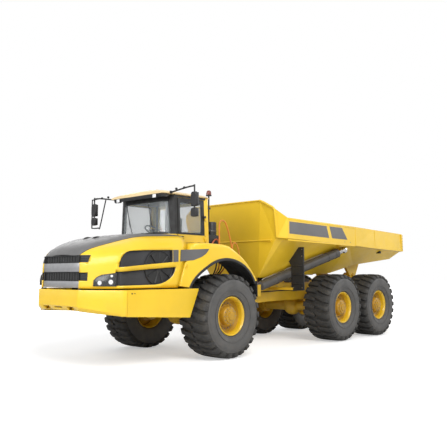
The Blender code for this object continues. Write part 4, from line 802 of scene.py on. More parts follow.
def fender(side, sign):
    upper = along_line(FENDER_TOP[1:], 40)
    lower = along_line(ellipse(*ARCH, 15, 157, 40), 40)
    rows = []
    for k, (high, low) in enumerate(zip(upper, lower)):
        if k == 0:
            high = Vector((1.225, 1.52))
        run = low - high
        ring = [(high, 0.9335), (high, 1.15), (high, flare(high.x) - 0.05)]
        inward = run.normalized()
        for turn_share in (0.25, 0.5, 0.75, 1.0):
            a = turn_share * math.pi / 2
            radius = min(0.045, run.length * 0.3)
            place = high + inward * radius * (1 - math.cos(a))
            ring.append((place, flare(place.x) - 0.05 + 0.05 * math.sin(a)))
        start = high + inward * min(0.045, run.length * 0.3)
        for share in (0.2, 0.4, 0.6, 0.8, 1.0):
            place = start.lerp(low, share)
            ring.append((place, flare(place.x)))
        ring.append((low, flare(low.x) - 0.025))
        ring.append((low + Vector((0, 0.001)), 0.9335))
        rows.append([at(p.x, sign * y, p.y) for p, y in ring])
    wide = len(rows[0])
    shape = Shape()
    shape.faces([row[:wide - 1] for row in rows], 0)
    shape.faces([[row[wide - 2], row[wide - 1]] for row in rows], 1)
    shape.faces([[row[wide - 1], row[0]] for row in rows], 1)
    for row in (rows[0], rows[-1]):
        shape.mesh.faces.new([shape.mesh.verts.new(p) for p in row])
    shape.make(f"fender_panel_{side}", "front_unit", [YELLOW, BLACK], replaces=[f"fender_{side}"], smooth=42,
               slot="yellow_paint")
    # black rubber lip round the arch, and the flap behind the tyre
    lip = Shape()
    rows = []
    for k in range(41):
        angle = math.radians(160 + (13 - 160) * k / 40)
        inner = min(0.0, flare(ARCH[0] + ARCH[2] * math.cos(angle)) - FENDER_OUT)

        def rim(grow, y):
            y += inner
            return at(ARCH[0] + (ARCH[2] + grow) * math.cos(angle), sign * y,
                      ARCH[1] + (ARCH[3] + grow) * math.sin(angle))
        rows.append([rim(0.006, FENDER_OUT - 0.03), rim(0.010, FENDER_OUT + 0.004),
                     rim(0.002, FENDER_OUT + 0.014),
                     rim(-0.026, FENDER_OUT + 0.018), rim(-0.046, FENDER_OUT + 0.012),
                     rim(-0.034, FENDER_OUT - 0.10),
                     rim(-0.016, FENDER_OUT - 0.30), rim(-0.004, FENDER_OUT - 0.30)])
    lip.solid(rows)
    lip.side([(-0.885, 1.60), (-0.862, 1.61), (-0.872, 1.26), (-0.895, 1.255)], sign * 1.16, sign * 1.612,
             edge=0.004)
    lip.make(f"arch_rubber_{side}", "front_unit", [BLACK], slot="tyre_rubber", smooth=40)
    # dark band that carries the upper vent's line on to the fender, and the round cap below it
    trim = Shape()
    # strips between the band's upper and lower edge follow the flared skin
    upper_edge = along_line(BAND[:2], 24)
    lower_edge = along_line(BAND[:1:-1] + BAND[1:2], 24)
    strips = []
    for high, low in zip(upper_edge, lower_edge):
        strips.append([at(p.x, sign * (flare(p.x) + out), p.y) for p, out in
                       ((high, -0.004), (high, 0.0035), (high.lerp(low, 0.5), 0.0035), (low, 0.0035),
                        (low, -0.004))])
    trim.solid(strips)
    skin = sign * flare(1.06)
    trim.turn([(0, 0.003), (0.030, 0.003), (0.034, 0.006), (0.046, 0.005), (0.050, -0.003)],
              at(1.06, skin, 1.905),
              (0, sign, 0), 28, 1)
    trim.box(at(1.03, skin, 1.897), at(1.09, skin + sign * 0.012, 1.913), 1, 0.003)
    trim.make(f"fender_band_{side}", "front_unit", [DECAL, YELLOW], slot="black_paint")
    # steps of dark grip tape on the fender's top and rear slope
    grip = Shape()
    for x0, x1, y0, y1 in ((0.25, 0.85, 1.10, 1.52), (-0.38, -0.16, 1.22, 1.52)):
        points = []
        for x in (x0, x1):
            z = next(a[1] + (b[1] - a[1]) * (x - a[0]) / (b[0] - a[0]) for a,
                     b in zip(FENDER_TOP[6:], FENDER_TOP[7:])
                     if b[0] <= x <= a[0])
            points.append((x, z))
        (xa, za), (xb, zb) = points
        rows = [[at(xa, sign * y, za + 0.0025), at(xb, sign * y, zb + 0.0025), at(xb, sign * y, zb - 0.003),
                 at(xa, sign * y, za - 0.003)]
                for y in (y0, y1)]
        grip.solid(rows)
    grip.make(f"fender_grip_{side}", "front_unit", [BLACK], slot="black_paint")


for side_name, side_sign in SIDES:
    fender(side_name, side_sign)


# ---------------------------------------------------------------- cab
CAB_LOW, CAB_HIGH = 2.05, 3.42


def share_of(z):
    return (z - CAB_LOW) / (CAB_HIGH - CAB_LOW)


def wall_y(z):
    return 0.93 - 0.06 * share_of(z)


def nose_x(z):
    return 1.12 - 0.06 * share_of(z)


def side_frame(shape, sign, outer, inner, depth, back, look=0):
    """A flat frame on the cab's leaning side wall: outer and inner are (x low, x high, z low, z high)."""
    def ring(bounds, radius, out):
        x0, x1, z0, z1 = bounds
        points = []
        for cx, cz, start in ((x1 - radius, z1 - radius, 0), (x0 + radius, z1 - radius, 90),
                              (x0 + radius, z0 + radius, 180), (x1 - radius, z0 + radius, 270)):
            for k in range(5):
                a = math.radians(start + 22.5 * k)
                x, z = cx + radius * math.cos(a), cz + radius * math.sin(a)
                points.append(at(x, sign * (wall_y(z) + out), z))
        return points
    shape.faces([ring(outer, 0.03, back), ring(outer, 0.03, depth - 0.002), ring(outer, 0.026, depth),
                 ring(inner, 0.055, depth), ring(inner, 0.055, back)], look, closed=True, loop=True)


def cab():
    dressed("cab_shell", darkened("cab_paint", YELLOW, (0.010, 0.010, 0.010), 2.588, AXLE + 0.862), 0.008)
    dressed("cab_door_left", darkened("door_paint", YELLOW, (0.010, 0.010, 0.010), 2.590, -20.0), 0.005)
    for pane in ("windscreen", "rear_window", "side_glass_right", "door_glass"):
        dressed(pane, GLASS)
    door = Shape()
    side_frame(door, 1, (0.067, 0.847, 2.590, 3.362), (0.150, 0.786, 2.630, 3.272), 0.006, -0.004)
    for z in (2.50, 2.54):
        door.tube([at(0.70, wall_y(z) + 0.002, z), at(0.71, wall_y(z) + 0.022, z),
                   at(0.80, wall_y(z) + 0.022, z),
                   at(0.81, wall_y(z) + 0.002, z)], 0.008, 0, 8)
    door.turn([(0, 0.010), (0.012, 0.009), (0.014, -0.006)], at(0.765, wall_y(2.47), 2.47), (0, 1, 0), 16, 1)
    door.make("door_window_frame", "cab_door", [SEAL, BOLT], slot="black_paint")
    trim = Shape()
    side_frame(trim, -1, (0.05, 0.90, 2.585, 3.375), (0.12, 0.842, 2.618, 3.322), 0.006, -0.004)
    for sign in (1, -1):
        rows = []
        for z in (2.590, 2.80, 3.05, 3.30, 3.416):
            half, nose = wall_y(z), nose_x(z)
            run = Vector((nose - 0.94, 0.55 - half, 0))
            out = Vector((-run.y, run.x, 0)).normalized()
            corner = Vector((0.94, half, 0))
            stations = [Vector((0.861, half - 0.003, 0)), Vector((0.861, half + 0.005, 0)),
                        corner + Vector((0, 0.006, 0)),
                        corner + run * 0.05 + out * 0.007, corner + run * 0.27 + out * 0.006,
                        corner + run * 0.29 - out * 0.002, corner + run * 0.27 - out * 0.004,
                        corner - Vector((0, 0.004, 0))]
            rows.append([at(p.x, sign * p.y, z) for p in stations])
        trim.solid(rows)
        header = [[at(x, sign * (wall_y(z) + out), z) for z,
                   out in ((3.372, -0.004), (3.372, 0.005), (3.417, 0.005), (3.417, -0.004))]
                  for x in (0.02, 0.93)]
        trim.solid(header)
    for low, high in ((2.592, 2.632), (3.290, 3.405)):
        rows = []
        for y in (-0.76, -0.56, -0.3, 0.0, 0.3, 0.56, 0.76):
            ring = []
            for z, out in ((low, -0.004), (low, 0.006), (high, 0.006), (high, -0.004)):
                half, nose = wall_y(z), nose_x(z)
                x = nose if abs(y) <= 0.56 else nose - (abs(y) - 0.55) * (nose - 0.94) / (half - 0.55)
                ring.append(at(x + out, y, z))
            rows.append(ring)
        trim.solid(rows)
    # wipers on the windscreen
    for y, turn in ((0.42, -0.20), (-0.30, -0.22)):
        foot = at(nose_x(2.62) + 0.012, y, 2.62)
        knee = at(nose_x(2.95) + 0.014, y + turn * 0.6, 2.95)
        tip = at(nose_x(3.16) + 0.008, y + turn, 3.16)
        trim.tube([foot, knee, tip], [0.009, 0.006, 0.005], 0, 6)
        trim.tube([knee.lerp(foot, 0.5) + Vector((0, turn * 0.12, 0)),
                   tip + Vector((0.001, turn * 0.06, 0.10))], 0.007, 0, 6, 0.6)
        trim.turn([(0, 0.02), (0.02, 0.016), (0.024, -0.01)], foot, (1, 0, 0.2), 14, 0)
    trim.make("cab_window_frames", "front_unit", [SEAL], slot="black_paint")
    # dark lining inside the cab: rear wall, roof and pillars
    lining = Shape()
    lining.slab([(AXLE + 0.002, -0.80), (AXLE + 0.93, -0.80), (AXLE + 0.93, 0.80), (AXLE + 0.002, 0.80)],
                3.352, 3.366, 0, "xy", edge=0.004)
    lining.box(at(0.003, -0.80, 2.14), at(0.016, 0.80, 2.68), 0, 0.004)
    for sign in (1, -1):
        lining.box(at(0.003, sign * 0.725, 2.68), at(0.018, sign * 0.80, 3.35), 0, 0.004)
        lining.box(at(0.90, sign * 0.60, 2.14), at(0.93, sign * 0.79, 2.57), 0, 0.004)
        lining.box(at(0.07, sign * 0.62, 2.14), at(0.50, sign * 0.78, 2.50 if sign < 0 else 2.36), 0, 0.02)
    lining.make("cab_lining", "front_unit", [BLACK], slot="black_paint")
    # groove and seam lines of the cab's lower side
    lines = Shape()
    for sign in (1, -1):
        for x in (0.862, 0.050):
            lines.tube([at(x, sign * (wall_y(z) + 0.001), z) for z in (2.424, 2.59)], 0.004, 0, 6)
        lines.box(at(-0.055, sign * 0.928, 2.392), at(0.935, sign * 0.9335, 2.402), 0)
        lines.bolts([at(x, sign * (wall_y(3.395)), 3.395) for x in (0.05, 0.30, 0.55, 0.80)], (0, sign, 0),
                    0.009, 0.006, 0)
        for z in (2.68, 2.90, 3.12):
            lines.tube([at(-0.060, sign * 0.80, z), at(-0.066, sign * 0.80, z + 0.01),
                        at(-0.060, sign * 0.80, z + 0.02)], 0.004, 0, 6)
    side_points = [at(-0.063, -0.74, 2.67), at(-0.063, 0.74, 2.67), at(-0.063, 0.74, 3.32),
                   at(-0.063, -0.74, 3.32),
                   at(-0.063, -0.74, 2.67)]
    lines.tube(side_points, 0.014, 0, 6, 0.5)
    lines.make("cab_seams", "front_unit", [SEAL], slot="black_paint")
    # roof: thin, crowned, with a rounded edge, over a dark visor that carries two lamps
    low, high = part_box("cab_roof")
    rows = []
    steps = 14
    for k in range(steps + 1):
        u = k / steps
        x = low.x + 0.004 + (high.x - low.x - 0.008) * u
        ends = min(1.0, min(u, 1 - u) / 0.10)
        crown = 0.055 + 0.045 * math.sqrt(ends)
        half = high.y - 0.002 - 0.05 * (1 - math.sqrt(ends))
        ring = []
        for j in range(25):
            v = -1 + 2 * j / 24
            ring.append(Vector((x, half * v, low.z + 0.018 + crown * (1 - abs(v) ** 2.6) ** 0.55)))
        ring += [Vector((x, half * v, low.z + 0.001)) for v in (0.985, 0.5, 0.0, -0.5, -0.985)]
        rows.append(ring)
    roof = Shape().solid(rows)
    for y in (-0.52, 0.52):
        roof.tube([Vector((low.x + 0.12, y, low.z + 0.106)), Vector((high.x - 0.16, y, low.z + 0.106))],
                  0.010, 0, 8)
    roof.make("roof_panel", "front_unit", [ROOF], replaces=["cab_roof"], smooth=50, slot="roof_cream")
    visor = Shape()
    path = [(high.x - 0.10, -0.86), (high.x - 0.035, -0.80), (high.x - 0.020, -0.5), (high.x - 0.016, 0.0),
            (high.x - 0.020, 0.5), (high.x - 0.035, 0.80), (high.x - 0.10, 0.86)]
    rows = [[Vector((x, y, low.z + 0.004)), Vector((x + 0.004, y, low.z - 0.008)),
             Vector((x - 0.016, y, low.z - 0.066)),
             Vector((x - 0.030, y, low.z - 0.070)), Vector((x - 0.14, y * 0.96, low.z - 0.030)),
             Vector((x - 0.14, y * 0.96, low.z + 0.004))] for x, y in path]
    visor.solid(rows)
    for y in (-0.62, 0.62):
        place = Vector((high.x - 0.020, y, low.z - 0.045))
        visor.box(place - Vector((0.05, 0.062, 0.042)), place + Vector((0.010, 0.062, 0.046)), 0, 0.008)
        visor.box(place + Vector((0.004, -0.052, -0.034)), place + Vector((0.014, 0.052, 0.038)), 1, 0.004)
    visor.make("roof_visor", "front_unit", [BLACK, WHITE], slot="black_paint")


def cab_inside():
    """Dashboard with screen and levers, and wheel with spokes."""
    low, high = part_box("dashboard")
    dash = Shape()
    section = [(low.x + 0.05, low.z + 0.004), (high.x - 0.004, low.z + 0.004),
               (high.x - 0.004, high.z - 0.02),
               (high.x - 0.03, high.z - 0.004), (low.x + 0.10, high.z - 0.004), (low.x + 0.03, high.z - 0.05),
               (low.x + 0.004, high.z - 0.13), (low.x + 0.05, high.z - 0.20)]
    dash.slab(section, low.y + 0.004, high.y - 0.004, 0, edge=0.012)
    for y, wide in ((0.0, 0.14), (-0.30, 0.09), (0.30, 0.09)):
        dash.box((low.x + 0.012, y - wide, high.z - 0.125), (low.x + 0.034, y + wide, high.z - 0.045), 1,
                 0.006)
    dash.tube([(low.x + 0.02, -0.40, high.z - 0.10), (low.x - 0.04, -0.40, high.z - 0.02),
               (low.x - 0.05, -0.40, high.z + 0.06)],
              [0.010, 0.009, 0.018], 0, 8)
    dash.make("dash_panel", "front_unit", [BLACK, GLASS], replaces=["dashboard"], slot="black_paint")
    centre_point = at(0.765, 0.0, 2.71)
    lean = Vector((-0.5, 0, 0.866))
    side = Vector((0, 1, 0))
    up = side.cross(lean).normalized()
    ring = [centre_point + (side * math.cos(a) + up * math.sin(a)) * 0.194 for a in full_turn(48, True)]
    wheel = Shape().tube(ring, 0.015, 0, 10)
    for angle in (0.3, 2.84, 4.71):
        tip = centre_point + (side * math.cos(angle) + up * math.sin(angle)) * 0.19
        wheel.tube([centre_point, tip], [0.030, 0.012], 0, 8, 0.5)
    wheel.turn([(0, 0.020), (0.045, 0.014), (0.055, -0.01), (0.034, -0.03), (0.030, -0.22), (0, -0.22)],
               centre_point, lean, 24, 0)
    wheel.make("steering_wheel_rim", "front_unit", [BLACK], replaces=["steering_wheel"], slot="black_paint")


CLOTH_FRAMES = 20
CLOTH_REACH = 0.010             # the furthest that the stuffing moves a pad's surface


def pad(name, size, place, lean):
    """A stuffed cushion: a rounded block that swells as cloth."""
    shape = Shape()
    half = Vector(size) / 2
    rows = []
    for k in range(13):
        v = -1 + 2 * k / 12
        ring = []
        for a in full_turn(28):
            sx, sz = math.cos(a), math.sin(a)
            px = half.x * math.copysign(abs(sx) ** 0.45, sx)
            pz = half.z * math.copysign(abs(sz) ** 0.7, sz)
            end = (1 - abs(v) ** 6) ** 0.35 if abs(v) < 1 else 0.35
            ring.append(Vector((px * (0.90 + 0.10 * end), half.y * v, pz * (0.55 + 0.45 * end))))
        rows.append(ring)
    shape.solid(rows)
    obj = shape.make(name, None, [CLOTH], smooth=180)
    turn = Matrix.Translation(place) @ Matrix.Rotation(lean, 4, "Y")
    before_frame = SCENE.frame_current
    remesh = obj.modifiers.new("remesh", "REMESH")
    remesh.mode = "VOXEL"
    remesh.voxel_size = 0.009
    bpy.context.view_layer.update()
    applied(obj)
    start = [v.co.copy() for v in obj.data.vertices]
    cloth = obj.modifiers.new("cloth", "CLOTH")
    cloth.settings.use_pressure = True
    cloth.settings.uniform_pressure_force = 4
    cloth.settings.effector_weights.gravity = 0
    cloth.settings.quality = 4
    cloth.point_cache.frame_start, cloth.point_cache.frame_end = 1, CLOTH_FRAMES
    for number in range(1, CLOTH_FRAMES + 1):
        SCENE.frame_set(number)
    swollen = bpy.data.meshes.new_from_object(obj.evaluated_get(bpy.context.evaluated_depsgraph_get()))
    obj.modifiers.clear()
    if len(swollen.vertices) == len(start):
        for vertex, old, new in zip(obj.data.vertices, start, swollen.vertices):
            move = new.co - old
            vertex.co = old + move * min(1.0, CLOTH_REACH / max(move.length, 1e-6))
    SCENE.frame_set(before_frame)
    step = obj.modifiers.new("fine", "SUBSURF")
    step.levels = step.render_levels = 1
    obj.data.transform(turn)
    obj.data.shade_smooth()
    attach(obj, "front_unit")
    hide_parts("driver_seat")
    return obj


def seat():
    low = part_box("driver_seat")[0]
    pad("seat_cushion", (0.34, 0.44, 0.105), at(0.415, 0, 2.465), 0.0)
    pad("seat_back", (0.11, 0.42, 0.48), at(0.165, 0, 2.815), -0.10)
    pad("seat_headrest", (0.085, 0.24, 0.13), at(0.125, 0, 3.078), -0.10)
    base = Shape()
    foot = ((0.20, 0.002), (0.46, 0.002), (0.44, 0.22), (0.57, 0.255), (0.57, 0.278), (0.20, 0.278),
            (0.22, 0.22))
    base.side([(x, low.z + z) for x, z in foot], -0.17, 0.17, edge=0.012)
    for k in range(4):
        base.box(at(0.215, -0.185, 2.16 + 0.05 * k), at(0.445, 0.185, 2.175 + 0.05 * k), 0, 0.006)
    base.side(((0.085, 2.56), (0.11, 2.56), (0.085, 3.02), (0.064, 3.02)), -0.19, 0.19, edge=0.008)
    for sign in (1, -1):
        base.tube([at(0.10, sign * 0.235, 2.60), at(0.14, sign * 0.238, 2.615),
                   at(0.40, sign * 0.238, 2.615)], [0.018, 0.022, 0.016], 0, 8)
    base.make("seat_frame", "front_unit", [BLACK], slot="black_paint")


cab()
cab_inside()
seat()


# ---------------------------------------------------------------- mirrors, rails, beacon
def fittings():
    for side, sign in SIDES:
        low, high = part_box(f"mirror_{side}")
        y = sign * 1.60
        x = (low.x + 0.06) if side == "left" else (high.x - 0.04)
        shape = Shape()
        for z0, z1 in ((3.095, 3.395), (2.885, 3.070)):
            rows = []
            for px, grow in ((x + 0.036, 0.90), (x + 0.026, 0.985), (x - 0.01, 1.0), (x - 0.036, 0.95),
                             (x - 0.052, 0.80)):
                ring = []
                for a in full_turn(20):
                    cy = math.copysign(abs(math.cos(a)) ** 0.42, math.cos(a)) * 0.080 * grow
                    cz = math.copysign(abs(math.sin(a)) ** 0.42, math.sin(a)) * (z1 - z0) / 2 * grow
                    ring.append(Vector((px, y + cy, (z0 + z1) / 2 + cz)))
                rows.append(ring)
            shape.solid(rows)
            glass = [[Vector((px, y + cy * 0.070, (z0 + z1) / 2 + cz * ((z1 - z0) / 2 - 0.014))) for cy, cz in
                      ((-1, -1), (1, -1), (1, 1), (-1, 1))] for px in (x - 0.053, x - 0.050)]
            shape.solid(glass, 1)
        root = at(1.07, sign * 0.922, 3.45)
        arm = [root, root + Vector((0, sign * 0.06, 0)), Vector((x, sign * 1.35, 3.50)),
               Vector((x, sign * 1.575, 3.512)),
               Vector((x, sign * 1.60, 3.49)), Vector((x, sign * 1.60, 2.90))]
        shape.tube(eased(arm, 4), 0.0165, 0, 10)
        shape.box(root - Vector((0.03, 0.012 * sign, 0.03)), root + Vector((0.03, 0.012 * sign, 0.025)), 0,
                  0.004)
        if side == "right":
            outer = [Vector((x, sign * 1.42, 3.505)), Vector((x, sign * 1.66, 3.495)),
                     Vector((x, sign * 1.690, 3.46)),
                     Vector((x, sign * 1.690, 3.10)), Vector((x, sign * 1.690, 2.86)),
                     Vector((x, sign * 1.66, 2.825)),
                     Vector((x, sign * 1.42, 2.82)), Vector((x, sign * 1.36, 2.85)),
                     Vector((x, sign * 1.15, 3.46))]
            shape.tube(eased(outer, 4), 0.0145, 0, 8)
        for px in (1.06, 1.30):
            place = Vector((x, sign * px, 3.505))
            shape.turn([(0, 0.018), (0.022, 0.016), (0.026, -0.014), (0, -0.018)], place, (1, 0, 0), 16, 0)
        shape.make(f"mirror_unit_{side}", "front_unit", [BLACK, MIRROR], replaces=[f"mirror_{side}"],
                   slot="black_paint")
        rail = Shape()
        y = sign * 1.10
        bends = [at(-0.20, y, 2.235), at(-0.20, y, 2.60), at(-0.20, y, 2.82), at(-0.225, y, 2.905),
                 at(-0.29, y, 2.938), at(-0.36, y, 2.922), at(-0.42, y, 2.86), at(-0.50, y, 2.68),
                 at(-0.58, y, 2.45),
                 at(-0.635, y, 2.22), at(-0.655, y, 2.05), at(-0.66, y, 1.925)]
        rail.tube(eased(bends, 4), 0.016, 0, 12)
        for x, z in ((-0.20, 2.243), (-0.652, 1.915)):
            rail.turn([(0.018, 0.016), (0.036, 0.012), (0.038, -0.006), (0.018, -0.008)], at(x, y, z),
                      (-0.40, 0, 0.9), 16, 1)
        inner_y = sign * 1.40
        low_arc = [at(-0.30, inner_y, 2.176), at(-0.30, inner_y, 2.36), at(-0.345, inner_y, 2.43),
                   at(-0.42, inner_y, 2.41),
                   at(-0.50, inner_y, 2.26), at(-0.57, inner_y, 1.98)]
        rail.tube(eased(low_arc, 4), 0.012, 0, 10)
        rail.make(f"hand_rail_{side}", "front_unit", [ORANGE, BLACK], replaces=[f"handrail_{side}"],
                  slot="ochre_paint")
    low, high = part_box("beacon_lamp")
    mid = (low + high) / 2
    lamp = Shape()
    lamp.turn([(0.064, low.z + 0.001), (0.0645, low.z + 0.018), (0.058, low.z + 0.024)], (mid.x, mid.y, 0),
              (0, 0, 1), 32, 1)
    lamp.turn([(0.058, low.z + 0.022), (0.057, low.z + 0.07), (0.050, low.z + 0.105), (0.032, low.z + 0.122),
               (0, high.z - 0.001)],
              (mid.x, mid.y, 0), (0, 0, 1), 32, 0)
    for a in full_turn(12):
        lamp.tube([(mid.x + 0.0575 * math.cos(a), mid.y + 0.0575 * math.sin(a), low.z + 0.026),
                   (mid.x + 0.0565 * math.cos(a), mid.y + 0.0565 * math.sin(a), low.z + 0.072)], 0.003, 0, 6)
    lamp.make("beacon_dome", "front_unit", [BEACON, BLACK], replaces=["beacon_lamp"], slot="beacon_orange",
              smooth=45)
    dressed("beacon_post", BLACK, 0.003)
    dressed("air_cleaner", BLACK, 0.0)
    dressed("exhaust_stack", STEEL, 0.004)
    case = Shape()
    low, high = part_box("air_cleaner")
    for k in range(6):
        z = low.z + 0.06 + 0.055 * k
        case.box((low.x - 0.004, low.y + 0.06, z), (low.x + 0.008, high.y - 0.06, z + 0.018), 0, 0.003)
        case.box((low.x + 0.06, high.y - 0.008, z), (high.x - 0.05, high.y + 0.004, z + 0.018), 0, 0.003)
    case.tube(eased([Vector((low.x + 0.10, high.y - 0.10, high.z - 0.02)),
                     Vector((low.x + 0.08, high.y - 0.06, high.z + 0.10)),
                     Vector((low.x + 0.16, high.y + 0.04, high.z + 0.12)),
                     Vector((high.x - 0.02, high.y + 0.10, high.z + 0.04))], 4),
              0.030, 0, 12)
    case.make("air_cleaner_ribs", "front_unit", [BLACK], slot="black_paint")
    clutter = Shape()
    clutter.box(at(-0.40, 0.64, 2.34), at(-0.066, 0.90, 2.62), 0, 0.02)
    clutter.turn([(0.10, 0), (0.11, 0.01), (0.11, 0.30), (0.10, 0.32), (0, 0.32)], at(-0.30, 0.76, 2.60),
                 (0, 0, 1), 28, 0)
    clutter.turn([(0.115, 0), (0.118, 0.004), (0.118, 0.024), (0.115, 0.028)], at(-0.30, 0.76, 2.70),
                 (0, 0, 1), 28, 1)
    for k in range(4):
        y = 0.70 + 0.07 * k
        bend = [at(-0.10, y, 2.36), at(-0.22 - 0.02 * k, y + 0.02, 2.44 + 0.03 * k),
                at(-0.40, y + 0.04, 2.36),
                at(-0.52, y + 0.02, 2.16), at(-0.56 - 0.02 * k, y - 0.05, 1.90),
                at(-0.58, 0.50 + 0.04 * k, 1.66)]
        clutter.tube(eased(bend, 5), 0.017, 2 if k % 2 else 0, 8)
    clutter.make("cab_rear_units", "front_unit", [BLACK, STEEL, HOSE], slot="black_paint")
    stack = Shape()
    low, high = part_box("exhaust_stack")
    x, y = low.x + 0.13, (low.y + high.y) / 2
    stack.turn([(0.078, 0), (0.081, 0.006), (0.081, 0.03), (0.078, 0.036)], (x, y, high.z - 0.05), (0, 0, 1),
               32, 0)
    for z in (2.16, 2.58):
        stack.turn([(0.130, 0), (0.1345, 0.004), (0.1345, 0.032), (0.130, 0.036)], (x, y, z), (0, 0, 1), 32,
                   1)
    for k in range(10):
        z = 2.76 + 0.055 * k
        stack.tube([(x + 0.078 * math.cos(a), y + 0.078 * math.sin(a), z) for a in full_turn(24, True)],
                   0.006, 1, 6)
    stack.make("exhaust_shield", "front_unit", [BOLT, STEEL], slot="dark_steel")


fittings()


# ---------------------------------------------------------------- dump body
def body():
    dressed("dump_body", BODY_YELLOW, 0.010, 25)
    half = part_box("dump_body")[1].y
    trim, panels = Shape(), Shape()
    for _, sign in SIDES:
        skin = sign * half
        out = sign * 0.003
        # blank dark panels on the rail, with a slanted gap between them
        for points in (((-2.06, 2.715), (-2.06, 3.005), (-3.67, 2.995), (-3.79, 2.69)),
                       ((-3.93, 2.690), (-3.81, 2.995), (-4.42, 2.992), (-4.70, 2.682))):
            panels.side(points, skin - out, skin + out * 0.7)
        # rail flanges, folds and welds
        for low_z, high_z, wide in ((3.042, 3.092, 0.006), (2.548, 2.580, 0.004)):
            top = [(-2.00, high_z), (-5.10, high_z - 0.032), (-5.10, low_z - 0.032), (-2.00, low_z)]
            trim.side(top, skin - sign * 0.01, skin + sign * wide, edge=0.002)
        trim.tube([at(-5.12, skin + sign * 0.001, 2.53), at(-5.12, skin + sign * 0.001, 3.04)], 0.006, 0, 6)
        trim.tube([at(-6.24, sign * (half - 0.02), 3.035), at(-6.24, sign * (half - 0.002), 2.52)], 0.006, 0,
                  6)
        # curved flange on the front wall's edge
        edge = [at(-1.592, sign * 1.10, 3.508), at(-1.604, sign * 1.22, 3.46), at(-1.628, sign * 1.36, 3.38),
                at(-1.660, sign * 1.487, 3.285), at(-1.700, sign * 1.495, 3.05),
                at(-1.752, sign * 1.478, 2.85),
                at(-1.806, sign * 1.450, 2.64)]
        trim.tube(eased(edge, 4), 0.026, 0, 8)
        # tail end flange with bolts and a small lamp under it
        tail = [(-7.98, 2.49), (-7.98, 2.99), (-8.075, 2.985), (-8.075, 2.485)]
        trim.side(tail, sign * 1.56, sign * 1.607, edge=0.004)
        trim.bolts([at(-8.03, sign * 1.606, 2.53 + 0.085 * k) for k in range(6)], (0, sign, 0), 0.014, 0.010,
                   1)
        panels.box(at(-6.86, sign * 1.30, 2.38), at(-6.96, sign * 1.44, 2.45), 1, 0.010)
        panels.box(at(-6.955, sign * 1.31, 2.39), at(-6.972, sign * 1.43, 2.44), 2, 0.004)
        # guard over the hoist eye
        trim.box(at(-4.42, sign * 1.36, 2.50), at(-4.98, sign * 1.56, 2.545), 0, 0.006)
        trim.bolts([at(-4.84, sign * 1.61, 2.62), at(-4.56, sign * 1.61, 2.62)], (0, sign, 0), 0.016, 0.030,
                   1)
    # front wall: flange along the top and the sill
    trim.tube(eased([at(-1.594, -1.10, 3.508), at(-1.590, -0.5, 3.512), at(-1.590, 0.5, 3.512),
                     at(-1.594, 1.10, 3.508)], 3), 0.018, 0, 8)
    trim.tube([at(-1.772, -1.30, 2.56), at(-1.760, -0.7, 2.56), at(-1.760, 0.7, 2.56),
               at(-1.772, 1.30, 2.56)], 0.022, 0, 8)
    trim.make("body_flanges", "dump_body", [BODY_YELLOW, BOLT], slot="yellow_paint")
    panels.make("body_blank_panels", "dump_body", [DECAL, BLACK, BEACON], slot="black_paint")


